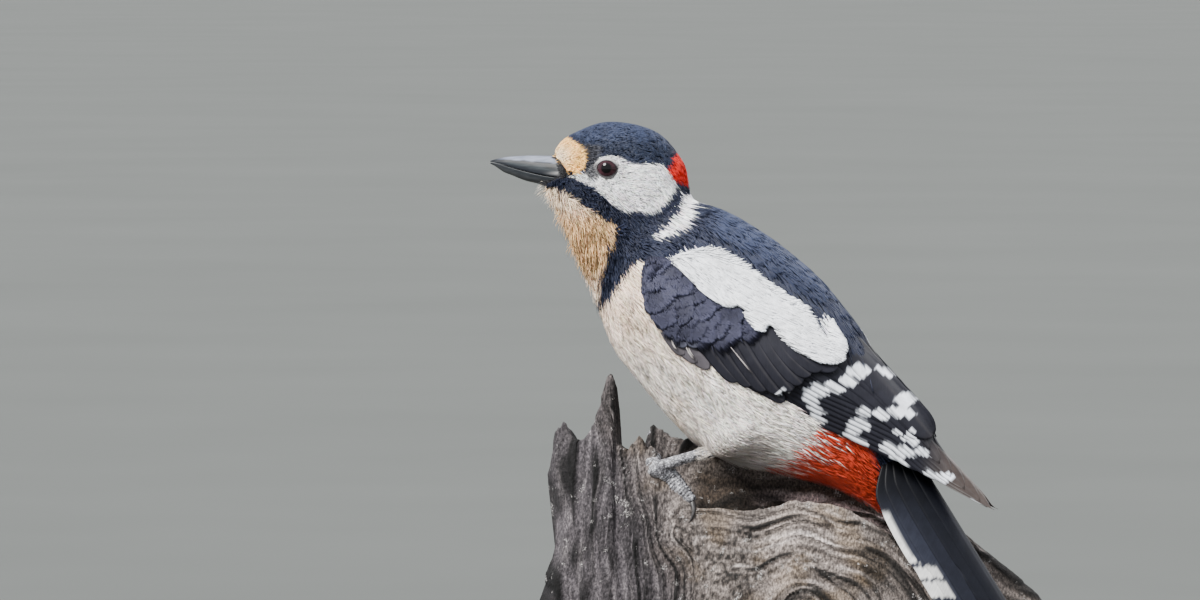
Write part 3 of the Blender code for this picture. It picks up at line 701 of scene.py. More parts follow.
# markings, each an outline in the side view's plane
markings = dict(
    forehead=[(-75.5, 190.5), (-74.6, 195.5), (-71, 199.9), (-68.2, 201.9), (-65.8, 200.6), (-63.4, 199.2),
        (-61, 197.2), (-61.3, 194.2), (-62.6, 191.1), (-64.7, 189.3), (-68.3, 191.3), (-71.2, 193.2)],
    cheek=[(-65.6, 188.8), (-62, 190.5), (-60.3, 191.8), (-58.6, 193.8), (-56.3, 195.2), (-52.9, 195.6),
        (-49.6, 195), (-47.6, 193.5), (-44.9, 193), (-40.5, 193.1), (-36.5, 192.6), (-34.5, 191.1),
        (-31.8, 188.1), (-30.2, 185.1), (-31.2, 182.4), (-34.5, 178.2), (-37.5, 175.9), (-40.5, 175.4),
        (-44.2, 176.7), (-48.9, 177.1), (-51.3, 178.4), (-53.6, 180.6), (-57, 183.3), (-60, 185.6),
        (-63, 186.8)],
    lore=[(-63.6, 199.8), (-56.6, 198.6), (-57.2, 195), (-57.8, 192), (-57.4, 188.6), (-60.2, 187.8),
        (-61.6, 190.6), (-61.2, 194.6)],
    nape=[(-29.8, 198.8), (-32.2, 194.8), (-32.5, 192.1), (-34.2, 190.8), (-31.5, 187.5), (-29.1, 185.4),
        (-22.8, 185.8), (-17.5, 191.5), (-20.8, 199.5)],
    collar=[(-26.8, 182.4), (-28.7, 180.8), (-29.5, 178.3), (-30.8, 175.4), (-32.8, 172.9), (-35.3, 170.1),
        (-38.6, 166.8), (-37.6, 166.3), (-34, 167.8), (-29.4, 170.3), (-26.4, 173.4), (-25.6, 176.6),
        (-25, 179.4), (-26, 181.6)],
    throat=[(-86, 188.1), (-73.7, 184.6), (-70.4, 183.6), (-67.3, 182.7), (-64.3, 180.4), (-61.3, 178.1),
        (-58.3, 176.4), (-55.3, 174.2), (-52.6, 173), (-50.2, 171.4), (-51.9, 168.7), (-51.3, 166.7),
        (-52.9, 164.3), (-53.9, 161), (-55.6, 156.3), (-56.6, 151.6), (-57.3, 146.2), (-64.3, 143.9),
        (-80.7, 167.3), (-90.8, 184.1)],
    breast=[(-57, 144.2), (-54.9, 145.6), (-52.9, 147.2), (-51.6, 149.6), (-49.6, 152.9), (-46.2, 157.3),
        (-44.1, 158.9), (-42.6, 159.3), (-41.2, 156.5), (-39.6, 148), (-24.5, 135.2), (-3.4, 120.5),
        (26.8, 107.1), (30.5, 99), (31.5, 72), (10.1, 55.2), (-60, 90.8), (-72.7, 147.2)],
    vent=[(-4.7, 88), (4.4, 94), (8.4, 97.7), (12.1, 101), (16.8, 105.4), (27.8, 103.6), (32.6, 99.6),
        (34.6, 93.4), (36.6, 87), (39.4, 79.6), (42.2, 70.6), (38.2, 62.2), (-3.4, 72.2)],
    scapular=[(-34.2, 160), (-30.2, 162.7), (-23.5, 164.3), (-18.1, 164), (-13.4, 161.7), (-8, 158),
        (-2.7, 153.3), (2.3, 148.9), (7.4, 145.6), (10.9, 142.6), (13.9, 138.8), (17.4, 133.6), (17.9, 139),
        (19.7, 141.6), (21.4, 137.6), (23.2, 134), (24.2, 130.6), (23.4, 128.4), (22.9, 126.3), (20, 125.2),
        (15.6, 125.8), (11.4, 127.8), (6.7, 130.5), (2.7, 133.9), (-0.7, 138.2), (-2.7, 136.2), (-6, 137.2),
        (-9.4, 141.2), (-10.7, 144.6), (-14.4, 144.2), (-18.4, 146.2), (-21.8, 148.6), (-25.1, 151.6),
        (-28.5, 155.3), (-31.8, 158.3)],
)
colours = dict(
    black=(0.0115, 0.0145, 0.031), crown=(0.0095, 0.0140, 0.030), white=(0.78, 0.78, 0.79),
    buff=(1.0, 0.58, 0.18), throat=(0.70, 0.455, 0.235), breast=(1.0, 0.81, 0.65), belly=(1.0, 0.95, 0.89),
    red=(0.56, 0.010, 0.005), vent=(0.50, 0.045, 0.018), scapular=(0.86, 0.88, 0.92),
    paintedSheen=(0.029, 0.039, 0.080),
)


def plumage(points):
    # the colour of skin and coat at a place on the body
    u, v = sideView(points)
    tint = np.empty(points.shape)
    tint[:] = colours["black"]

    def paint(share, colour):
        # a colour laid over the coat by a share from 0 to 1
        tint[:] = mixed(tint, colours[colour] if isinstance(colour, str) else colour, share)

    def marked(name, soft=0.3):
        # how far a place lies inside one of the markings
        return inside(markings[name], u, v, soft)

    paint(smooth(190, 196, v) * smooth(-30, -36, u), "crown")
    # painted sheen: the crown's top and the upper back are painted a lighter, bluer black, as the gloss on
    # black feathers
    paint(0.7 * smooth(197, 204, v) * smooth(-24, -34, u), "paintedSheen")
    paint(0.7 * smooth(131, 143, 0.51 * u + 0.86 * v) * smooth(-24, -16, u), "paintedSheen")
    throat = marked("throat")
    paint(throat, "throat")
    paint(throat * smooth(160, 148, v), "breast")
    paint(throat * 0.65 * smooth(172, 181, v), (0.84, 0.73, 0.60))
    pale = marked("breast")
    paint(pale, "breast")
    paint(pale * smooth(136, 110, v + 0.2 * u), "belly")
    # soft brown tones on the breast at random, fading towards the legs; then painted shade: brown along the
    # breast's front edge and grey-brown on the lower belly
    soft = smooth(0.0, 0.6, noise(points * (1, 0.6, 1), (9, 9, 6), 95, 2))
    paint(pale * soft * 0.34 * smooth(4, -24, u), (0.52, 0.39, 0.28))
    # painted shade along the breast's front edge
    shadedEdgeDistance = 0.80 * (u + 52.8) + 0.60 * (v - 138.0)
    paint(pale * (0.25 + 0.25 * soft) * smooth(11, 2, shadedEdgeDistance) * smooth(150, 138, v), (0.50, 0.36, 0.25))
    # painted shade: the lower belly is darkened in grey-brown towards the legs
    paint(pale * (0.75 + 0.2 * soft) * smooth(106, 98, v) * smooth(8, -8, u), (0.25, 0.22, 0.20))
    paint(marked("vent", 0.8), "vent")
    paint(marked("cheek", 0.2), "white")
    forehead = marked("forehead", 0.2)
    paint(forehead, "buff")
    # painted highlight: a pale cream spot at the front of the forehead
    paint(forehead * 0.75 * bell(np.hypot(u + 70.2, v - 195.6), 3.6), (1.0, 0.88, 0.68))
    # the lore is a dark wedge between forehead and eye
    paint(marked("lore", 0.5) * 0.9, (0.030, 0.030, 0.036))
    for name, colour in (("nape", "red"), ("collar", "white"), ("scapular", "scapular")):
        paint(marked(name, 0.2), colour)
    return tint


def makeSkin():
    # the skin lies its own depth inside the coat's surface, hollowed round each eye
    points = outerSkin - skinDepth(skinS)[:, None, None] * outerNormal
    for side in (left, right):
        # the socket: skin within the ball's reach sinks behind it
        centre, radius = eyeCentre(side)
        reach = np.linalg.norm(points - centre, axis=-1)
        near = smooth(radius + 0.3, radius - 0.5, reach) * (points[..., 1] * side > 0)
        points = points - (2.6 * near)[..., None] * outerNormal
    tint = plumage(outerSkin) * 0.9
    tint = tint * (1 + 0.12 * noise(outerSkin, 1.4, 41, 2))[..., None]
    hide, tree, shader = newFinish("skin", 0.8)
    wear(tree, shader, tinted(tree), grain(tree, 1800, 3), 0.0002, 0.6)
    # every second column is enough under the coat
    makeClosed("skin", [points[:, ::2]], hide, "body_feathers", "head", "neck", "trunk", "thigh_left",
               "thigh_right",
               tints=withEnds(tint[:, ::2]))
    print("skin", points.shape[:2])


# the lid from its edge outwards and back beneath: share of the opening's size beyond it, height over the ball
lidProfile = [
    (0.0, 0.05), (0.02, 0.2), (0.07, 0.27), (0.12, 0.22), (0.17, 0.13), (0.22, 0.2), (0.29, 0.27),
    (0.37, 0.18), (0.46, -0.05), (0.58, -0.6), (0.5, -0.9), (0.36, -0.6), (0.22, -0.3), (0.08, -0.15),
]


def eyeFrame(side):
    # the ball's centre and radius, its axis, and the directions forwards and up across it
    axis = unit(np.array((0.15, 0.975 * side, 0.10)))
    steep = np.array((0.12, 0.0, 1.0))
    upwards = unit(steep - axis * (steep @ axis))
    forwards = np.cross(upwards, axis)
    return *eyeCentre(side), axis, -forwards * np.sign(forwards[0]), upwards


def makeEyes():
    # each eye is a ball of rings about its axis, with lids round it
    glass, tree, shader = newFinish("eye", 0.08, Specular_IOR_Level=0.08,
                                    Coat_Weight=0.30, Coat_Roughness=0.02, IOR=1.4)
    wear(tree, shader, tinted(tree))
    lidSkin, tree, shader = newFinish("eyelid", 0.55)
    tone = ramp(tree, grain(tree, 2600, 3), (0.35, 0.6), (0.65, 1.25))
    wear(tree, shader, tinted(tree, tone), grain(tree, 3800, 2), 0.00012, 0.8)
    for side, name in bothSides:
        centre, radius, axis, forwards, upwards = eyeFrame(side)
        # the ball: rings about its axis, from the pupil's middle to the back
        polar = np.linspace(0.0, math.pi, 70)[1:-1, None]
        turn = onceRound(64)
        across = np.sin(polar) * radius
        points = (centre + (np.cos(polar) * radius)[..., None] * axis
                  + (across * np.cos(turn))[..., None] * forwards
                  + (across * np.sin(turn))[..., None] * upwards)
        ray = noise(stacked(9 * np.cos(turn), 9 * np.sin(turn), across * 0.7), 1.0, 7, 2)
        iris = np.array((0.026, 0.0098, 0.013)) * (1 + 0.45 * ray[..., None])
        iris = iris * (0.45 + 0.55 * smooth(1.4, 2.3, across) * smooth(3.4, 2.7, across))[..., None]
        # the iris is painted lighter in its lower half, as light let in through the cornea
        iris = iris * (1 + 0.5 * smooth(0.2, -0.8, np.sin(turn)))[..., None]
        tint = mixed(iris, 0.002, smooth(eyeShape["pupil"] + 0.12, eyeShape["pupil"] - 0.12, across))
        tint = np.where(np.cos(polar)[..., None] < 0.2, 0.01, tint)
        tint = np.concatenate([tint.reshape(-1, 3), [(0.002,) * 3], [(0.01,) * 3]])
        makeClosed(f"eyeball_{name}", [points], glass, "eye", f"eye_{name}", tints=tint)
        # the lids: from a thick dark edge on the ball outwards over a fold and down under the feathers
        turn = onceRound(144)
        tall = np.where(np.sin(turn) > 0, eyeShape["above"], eyeShape["below"])
        opening = np.stack([eyeShape["long"] * np.cos(turn), tall * np.sin(turn)], -1)
        opening[:, 0] *= 1 + 0.08 * np.abs(np.cos(turn)) ** 6
        rings, shades = [], []
        for out, rise in lidProfile:
            flat = opening * (1 + out)
            height = np.sqrt(np.maximum(radius**2 - (flat**2).sum(-1), 0.9)) + rise
            height = height + 0.05 * noise(stacked(*flat.T * 1.6), 0.7, 33, 2) * (out > 0.05)
            rings.append(centre + height[:, None] * axis + flat[:, :1] * forwards + flat[:, 1:] * upwards)
            pale = smooth(0.05, 0.16, out) * (0.55 + 0.45 * smooth(-0.4, 0.8, np.sin(turn)))
            pale = pale * (1 - 0.6 * smooth(0.35, 0.95, np.cos(turn)) * smooth(0.7, 0.2, np.sin(turn)))
            shades.append(np.array((0.016, 0.014, 0.016)) + pale[:, None] * np.array((0.36, 0.35, 0.35)))
        lids = makeMesh(f"eyelids_{name}", np.stack(rings, 1),
                        [gridFaces(len(turn), len(lidProfile), True, True)],
                        lidSkin, np.stack(shades, 1))
        place(facesOut(lids), "leg_skin")
    print("eyes")


# the bill: x, top, tomium, bottom, half width
billSections = np.array([
    (-66.5, 194, 187, 183.6, 4.6), (-72, 194.6, 187.6, 184, 4.7), (-77, 194.9, 188.1, 184.6, 4.3),
    (-83.5, 195, 189.3, 185.8, 3.5), (-87, 194.8, 190, 186.6, 3), (-91.3, 194.5, 191, 188.2, 2.2),
    (-94, 194.2, 191.7, 189.2, 1.7), (-97.2, 193.5, 192.3, 191.2, 1), (-98.7, 193.1, 192.5, 191.9, 0.6),
])
billGap = 0.14  # each half's distance from the line where they meet


def makeBill():
    # each half is a row of arches: half width * cos turn across, and up (or down) by the sine of the turn;
    # the upper arch is sharpened into a ridge, with a shelf along its side that ends at the nostril
    horn, tree, shader = newFinish("bill_horn", 0.38, Specular_IOR_Level=0.11,
                                   Coat_Weight=0.05, Coat_Roughness=0.25)
    scratch = ramp(tree, grain(tree, 900, 4, (0.30, 1, 1)), (0.30, (0.70, 0.70, 0.72)),
                   (0.66, (1.16, 1.15, 1.13)))
    wear(tree, shader, tinted(tree, scratch), grain(tree, 1500, 4, (0.12, 1, 1)), 0.00010, 0.7)
    x, top, tomium, bottom, half = drawn(billSections, 96).T[..., None]
    turn = np.linspace(0, math.pi, 37)
    arch, across = np.sin(turn), np.cos(turn)
    wobble = 0.05 * noise(stacked(x[:, 0]), 2.4, 51)[:, None]
    for name, upper in (("bill_upper", True), ("bill_lower", False)):
        if upper:
            shelf = bell(np.abs(across) - 0.62, 0.16) * smooth(-92, -82, x)
            z = tomium + billGap + (top - tomium - billGap) * arch**1.12 * (1 - 0.07 * shelf)
            y = half * across * (1 + 0.05 * shelf)
            # the nostril is painted dark, as the shade in its opening
            nostril = bell(np.hypot((x + 76.5) / 1.7, (arch - 0.50) * 11.0), 0.9)
            ragged = arch + 0.03 * noise(stacked(x, 4 * across), 1.6, 52)
            # a pale blue-grey band under the ridge: the horn's paler colour with a painted reflection over it
            paleBandAndReflection = smooth(0.68, 0.76, ragged) * (1 - 0.7 * smooth(0.955, 0.995, arch))
            paleBandAndReflection = paleBandAndReflection * smooth(-97.5, -92, x) * smooth(-69.5, -72.5, x)
            lower = (smooth(0.22, 0.34, ragged) * smooth(0.56, 0.48, ragged)
                     * smooth(-95, -89, x) * smooth(-73, -78, x))
            # painted highlight: a bright streak near the base, by the tomium
            streak = bell(arch - 0.24 - 0.015 * (x + 72), 0.085) * bell(x + 72.5, 3.4)
            tint = np.array((0.010, 0.012, 0.016)) + paleBandAndReflection[..., None] * np.array((0.165, 0.182, 0.230))
            tint = tint + lower[..., None] * np.array((0.010, 0.014, 0.015)) + streak[..., None] * 0.24
            tint = tint * (1 - 0.9 * nostril[..., None])
        else:
            z = tomium - billGap - (tomium - billGap - bottom) * arch**0.9
            y = 0.93 * half * across
            tint = np.array((0.020, 0.023, 0.027)) + (smooth(0.1, 0.7, arch + 0 * x) * 0.030)[..., None]
        points = stacked(x, y, z + wobble)
        # the flat side that closes each half, painted darker as shade in the gap between the halves
        closing = np.linspace(-1, 1, 7)[1:-1, None]
        flat = points[:, -1:] + (points[:, :1] - points[:, -1:]) * ((closing + 1) / 2)
        shades = np.concatenate([tint, 0.6 * tint[:, -1:] * np.ones((len(closing), 1))], 1)
        makeClosed(f"{name}_horn", [np.concatenate([points, flat], 1)], horn,
                   "bill_horn", name, tints=withEnds(shades))
    print("bill")


# each row of a foot: x, z, y outwards, radius
feet = dict(
    left=dict(
        tarsus=[(-18.3, 96.4, 14.4, 1.5), (-24.4, 94.8, 13.8, 1.35), (-32.6, 93.6, 13, 1.7)],
        toes=[[(-32.6, 93.6, 13, 1.7), (-29.8, 89.6, 14.2, 1.4), (-26.6, 85.4, 15, 1.3),
                (-23.4, 81.4, 15.4, 1.05)], [(-31.2, 93, 12.6, 1.4), (-28, 90.8, 10.6, 1.15),
                (-25, 87.4, 9.6, 1)], [(-33.6, 94, 12.4, 1.5), (-35.2, 94.6, 8.4, 1.3),
                (-36.4, 92.6, 4.6, 1.2), (-36.4, 88.6, 2.4, 1)], [(-32.6, 94, 12.2, 1.5),
                (-31.8, 92.8, 8.2, 1.3), (-31.8, 89.8, 4.6, 1.2), (-31.4, 86, 2.6, 1)]],
        claws=[(-24, 73, 15.2), (-23.4, 82.8, 9.4), (-37.6, 84.6, 1.6), (-32.4, 82.2, 1.4)]),
    right=dict(
        tarsus=[(-18.3, 96.4, 14.6, 1.5), (-24.4, 96, 15.4, 1.35), (-32.6, 95.8, 16.2, 1.7)],
        toes=[[(-32.6, 95.8, 16.2, 1.7), (-30, 91.6, 17.4, 1.4), (-26.4, 86.8, 19.6, 1.35),
                (-22.6, 82.4, 21.8, 1.15)], [(-31.6, 95.4, 15.8, 1.4), (-27.6, 93, 15.6, 1.15),
                (-24.6, 89.4, 17, 1)], [(-33.6, 96, 16.2, 1.5), (-38.6, 97.4, 15.6, 1.3),
                (-43.4, 97, 15.8, 1.2), (-46.8, 94.6, 16.2, 1)], [(-33.4, 96.2, 16, 1.5),
                (-36.8, 99.4, 13.4, 1.3), (-40.2, 102, 11.2, 1.2), (-43.4, 103, 10.2, 1)]],
        claws=[(-21.6, 77.6, 21.4), (-24.2, 84.8, 17.4), (-50.6, 90.6, 15.4), (-47.2, 100.6, 8.6)]),
)
grip = dict(toeBite=0.1, clawBite=0.0, bend=0.60, arch=1.8, root=0.80, stout=1.36, toe=1.42)


def sided(rows, side):
    # rows of x, z, y outwards and radius, as x, y, z and radius on one side
    rows = np.asarray(rows, float)
    return np.column_stack([rows[:, 0], side * rows[:, 2], rows[:, 1], rows[:, 3]])


def onWood(rows, side, wood, bite):
    # rows moved so that each lies on the stem and beds into it a little
    moved = sided(rows, side)
    for row in moved:
        spot, normal, _, _ = wood.find_nearest(Vector(row[:3]))
        row[:3] = np.array(spot) + np.array(normal) * (row[3] - bite)
    return moved


def scaledTube(rows, steps, scale):
    # a leg or toe: its radius follows the rows and rises to a step at each scale
    line = drawn(rows, steps)
    path, radius = line[:, :3], line[:, 3:] * grip["stout"]
    length = np.concatenate([[0], np.cumsum(np.linalg.norm(np.diff(path, axis=0), axis=1))])
    turn = onceRound(20)
    front, rear = (((length / scale + shift) % 1.0)[:, None] for shift in (0.0, 0.5))
    plate = np.where(np.cos(turn - 0.6) > 0, front, 0.5 * rear)
    rings = tube(path, radius * 0.93 + radius * (0.16 * plate**2), len(turn))

    def cap(end, before, share):
        # a ring of the rounded end, a share of the radius beyond the last one
        return (path[end] + unit(path[end] - path[before]) * radius[end] * share
                + (rings[end] - path[end]) * math.sqrt(1 - share**2))

    return np.concatenate([[cap(0, 1, 0.65), cap(0, 1, 0.35)], rings, [cap(-1, -2, 0.35), cap(-1, -2, 0.65)]])


def makeFeet():
    # each foot is a set of tubes along its shank and toes, and each claw a tapering tube
    leg, tree, shader = newFinish("leg_skin", 0.62)
    tone = ramp(tree, grain(tree, 700, 4), (0.36, (0.07, 0.068, 0.075)), (0.50, (0.28, 0.28, 0.30)),
                (0.66, (0.60, 0.61, 0.64)))
    where = add(tree, "ShaderNodeTexCoord").outputs["Object"]
    cells = add(tree, "ShaderNodeTexVoronoi", {"Vector": where, "Scale": 1050.0}, feature="DISTANCE_TO_EDGE")
    cracks = ramp(tree, cells.outputs["Distance"], (0.03, (0.26, 0.25, 0.26)), (0.20, 1))
    wear(tree, shader, blendColour(tree, 1.0, tone, cracks), cells.outputs["Distance"], 0.00022, 0.9)
    horn, tree, shader = newFinish("claw_horn", 0.34)
    tone = ramp(tree, grain(tree, 1400, 3), (0.3, (0.014, 0.013, 0.014)), (0.7, (0.050, 0.046, 0.045)))
    wear(tree, shader, tone, grain(tree, 2600, 2), 0.00006, 0.5)
    wood = woodSurface()
    for side, name in bothSides:
        foot = feet[name]
        shank = sided(foot["tarsus"], side)
        shank[-1] = onWood(foot["tarsus"][-1:], side, wood, grip["toeBite"])[0]
        # the shank starts inside the thigh's feathers
        shank = np.vstack([shank[0] + (shank[0] - shank[1]) * (0.9, 0.9, 0.9, 0), shank])
        tubes = [scaledTube(shank, 90, 1.5)]
        for number, (toe, clawTip) in enumerate(zip(foot["toes"], foot["claws"]), start=1):
            rows = onWood(np.array(toe) * (1, 1, 1, grip["toe"]), side, wood, grip["toeBite"])
            tubes.append(scaledTube(rows, 64, 1.15))
            # the talon: a quadratic curve from the toe's end, arched outwards, down into the wood
            end = rows[-1, :3]
            heading = unit(end - curveThrough(rows, [len(rows) - 1.2])[0, :3])
            tip = onWood([(*clawTip, 0.0)], side, wood, grip["clawBite"])[0, :3]
            start = end + heading * 0.2
            bend = start + heading * grip["bend"] * np.linalg.norm(tip - start)
            bend[1] += side * grip["arch"]
            t = np.linspace(0, 1, 20)[:, None]
            line = (1 - t) ** 2 * start + 2 * t * (1 - t) * bend + t**2 * tip
            rings = tube(line, grip["root"] * rows[-1, 3] * (1 - 0.93 * t**1.3), 14)
            makeClosed(f"talon_{name}_{number}", [rings], horn, "claw_horn", f"claw_{name}_{number}")
        makeClosed(f"scaled_foot_{name}", tubes, leg, "leg_skin", f"foot_{name}")
    print("feet")


makeSkin()
makeEyes()
makeBill()
makeFeet()


# the folded wing: low x, z, y; high x, z, y; bulge; thickness, with y outwards
wingSections = np.array([
    (-35.6, 150, 21.6, -34.6, 154.6, 20.8, 0.4, 1.6), (-33.2, 142.2, 23.2, -28.6, 161.4, 19.2, 1.4, 3.2),
    (-26.2, 134.6, 24.6, -19.4, 162.6, 18.4, 2.8, 4.4), (-16.4, 127.2, 25.4, -5.6, 158.6, 17.4, 4.2, 5.4),
    (-2.4, 120, 25.2, 8.6, 151.6, 15.4, 5.2, 5.8), (11, 113.6, 23.6, 20.4, 144, 11.6, 6, 5.8),
    (24, 107.2, 20.2, 29.8, 138.2, 4.6, 6.4, 5.4), (36.4, 100.8, 16.4, 39.2, 127.4, 2, 5, 4.2),
    (48.8, 94.2, 12.4, 48.2, 117.2, 1.4, 3.2, 3), (55.6, 90.6, 9.8, 55.4, 108, 1.2, 1.8, 2.2),
    (58.2, 89.2, 8.8, 57.8, 101.8, 1, 1.4, 1.8), (62.4, 86.6, 7.4, 62, 96, 1, 1, 1.6),
    (69.4, 82.8, 5, 69, 87.8, 1.2, 0.5, 1.3), (76, 79.2, 3.2, 76.2, 80.8, 2, 0.2, 1),
])
heightMap = dict(x=-70.0, z=60.0, step=0.5, columns=350, rows=240)
lieAlong, lieAcross = np.array((0.86, -0.51)), np.array((0.51, 0.86))


def wingFacePoints(rows, t):
    # x, z, y of the wing's face: straight from its lower edge to its upper one, bulged out by a sine
    low, high = rows[:, None, :3], rows[:, None, 3:6]
    face = low + (high - low) * t[:, None]
    face[..., 2] += rows[:, None, 6] * np.sin(math.pi * t)
    return face


def neighbours(grid):
    # the grid moved by one cell in each of the four ways
    return [np.roll(grid, step, axis) for axis in (0, 1) for step in (-1, 1)]


def softened(grid, rounds):
    # each cell becomes the mean of twice itself and its four neighbours
    for _ in range(rounds):
        grid = (grid * 2 + sum(neighbours(grid))) / 6
    return grid


def wingMaps(rounds=70):
    # how far out the folded wing's face lies at each x and z, with the face carried on level past its edges,
    # and a mask that is 1 where the wing covers the body
    grid = heightMap
    face = wingFacePoints(drawn(wingSections, 1300), np.linspace(0, 1, 260))
    cells = tuple(((face[..., i] - grid[axis]) / grid["step"]).astype(int)
                  for i, axis in ((1, "z"), (0, "x")))
    total, count = np.zeros((grid["rows"], grid["columns"])), np.zeros((grid["rows"], grid["columns"]))
    np.add.at(total, cells, face[..., 2])
    np.add.at(count, cells, 1)
    mask = (count > 0).astype(float)
    # empty places are filled from their filled neighbours, then the whole is evened
    for _ in range(rounds):
        value = total / np.maximum(count, 1e-9)
        known = (count > 0).astype(float)
        sumKnown, sumValue = sum(neighbours(known)), sum(neighbours(value * known))
        fresh = (known == 0) & (sumKnown > 0)
        total = np.where(fresh, sumValue / np.maximum(sumKnown, 1), value)
        count = np.where(fresh | (known > 0), 1.0, 0.0)
    return softened(np.where(count > 0, total, total[count > 0].mean()), 6), mask


wingFace, wingMask = wingMaps()


def readMap(field, x, z):
    # a map's value at x, z, blended between its four nearest cells
    grid = heightMap
    return between(field, np.clip((z - grid["z"]) / grid["step"], 0, grid["rows"] - 1.001),
                   np.clip((x - grid["x"]) / grid["step"], 0, grid["columns"] - 1.001))


def overWing(u, v, lift, side):
    # the place over the wing's face that is seen at u, v of the side view, raised by lift along its normal
    y = np.full(np.shape(u), 20.0)
    for _ in range(14):
        x, z = fromSideView(u, v, y)
        y = 0.5 * y + 0.5 * readMap(wingFace, x, z)
    slopeX = (readMap(wingFace, x + 0.6, z) - readMap(wingFace, x - 0.6, z)) / 1.2
    slopeZ = (readMap(wingFace, x, z + 0.6) - readMap(wingFace, x, z - 0.6)) / 1.2
    normal = unit(stacked(-slopeX, 1.0, -slopeZ))
    points = np.stack([x, y, z], -1) + np.asarray(lift)[..., None] * normal
    points[..., 1] *= side
    return points


def vaneSet(centre, half, height, surface, side, tintOf, shaft, seed, split):
    # vanes are strips either side of a shaft, in the plane of the side view; centre: feathers x steps x 2; half
    # width: feathers x steps; height over the surface: feathers x steps x columns
    count, steps = half.shape
    columns = height.shape[2]
    number, c = np.arange(count)[:, None, None], np.linspace(-1, 1, columns)
    l = np.linspace(0, 1, steps)[:, None]
    heading = unit(np.gradient(centre, axis=1))
    sideways = np.stack([-heading[..., 1], heading[..., 0]], -1)
    # the edges part here and there between barbs
    gaps = np.clip(noise(stacked(l * 9, np.sign(c) * 3.3, number * 7.7), 1.0, 61 + seed, 2), 0, 1) ** 2
    spread = c * (1 - split * np.abs(c) ** 3 * gaps)
    out = spread * half[..., None]
    u, v = np.moveaxis(centre[:, :, None] + out[..., None] * sideways[:, :, None], -1, 0)
    height = height + shaft * bell(c, 0.10) * (1 - 0.8 * l)
    points = surface(u, v, height, side).reshape(-1, 3)
    length = np.concatenate([np.zeros((count, 1)),
                             np.cumsum(np.linalg.norm(np.diff(centre, axis=1), axis=-1), 1)], 1)
    lie = np.stack([length[..., None] - 1.25 * np.abs(out) + 13.7 * number, out], -1)
    tint = tintOf(u, v, l + 0 * spread, spread, number)
    faces = (gridFaces(steps, columns) + number * steps * columns).reshape(-1, 4)
    # all faces look outwards
    a, b, d = points[faces[:, 0]], points[faces[:, 1]], points[faces[:, 3]]
    ahead = surface(u, v, height + 1.0, side).reshape(-1, 3)[faces[:, 0]] - a
    if (np.cross(b - a, d - a) * ahead).sum() < 0:
        faces = faces[:, ::-1]
    own = np.stack(np.broadcast_arrays((spread + 1) / 2, l), -1)
    return dict(points=points, faces=faces, tint=tint.reshape(-1, 3), lie=lie.reshape(-1, 2) * 0.1,
                own=own.reshape(-1, 2), feather=np.repeat(np.arange(count), steps * columns))


def joinVanes(name, sets, material, *replaced, thickness=0.12):
    # one mesh of many vanes, each with its own square of the bake map, given its thickness inwards
    offset, first = 0, 0
    for group in sets:
        group["faces"] = group["faces"] + offset
        group["feather"] = group["feather"] + first
        offset += len(group["points"])
        first = group["feather"][-1] + 1
    whole = {key: np.concatenate([group[key] for group in sets]) for key in sets[0]}
    cells = math.ceil(math.sqrt(first))
    corner = np.stack([whole["feather"] % cells, whole["feather"] // cells], -1)
    bake = (corner + 0.06 + 0.88 * whole["own"]) / cells
    piece = makeMesh(name, whole["points"], [whole["faces"]], material, whole["tint"],
                     dict(lie=whole["lie"], OFBake=bake))
    wall = piece.modifiers.new("thickness", "SOLIDIFY")
    wall.thickness, wall.offset, wall.use_rim = thickness * mm, -1.0, True
    place(piece, "flight_feathers", *replaced)


def vaneFinish(name, roughness, gloss):
    # barbs as fine lines that leave the shaft at a slant, read from the vane's own map
    vane, tree, shader = newFinish(name, roughness, Specular_IOR_Level=gloss)
    barbs = grain(tree, 30, 2.5, (1, 0.10, 1), "lie")
    tone = ramp(tree, barbs, (0.30, (0.84, 0.84, 0.85)), (0.70, (1.14, 1.14, 1.13)))
    cloud = ramp(tree, grain(tree, 260, 4), (0.3, 0.82), (0.7, 1.16))
    wear(tree, shader, tinted(tree, tone, cloud), barbs, 0.00006, 0.7)
    return vane


def straight(root, tip, steps, bow=0.0):
    # centre lines from root to tip, bowed sideways by so many millimetres in the middle
    l = np.linspace(0, 1, steps)[None, :, None]
    heading = unit(tip - root)
    sideways = np.stack([-heading[:, 1], heading[:, 0]], -1)
    return (root[:, None] + (tip - root)[:, None] * l
            + np.sin(math.pi * l) * np.asarray(bow) * sideways[:, None])


def roundEnded(width, length, steps, tip=0.5, root=0.55):
    # half widths along a vane: from a share at the root to full width, and a quarter ellipse at the tip
    width, length = width * np.ones((len(length), 1)), length[:, None]
    l = np.linspace(0, 1, steps)[None]
    cap = np.clip(tip * width / length, 0.02, 0.9)
    end = np.sqrt(np.clip(1 - np.clip((l - (1 - cap)) / cap, 0, 1) ** 2, 0.0016, 1))
    return width / 2 * (root + (1 - root) * smooth(0, 0.35, l)) * end


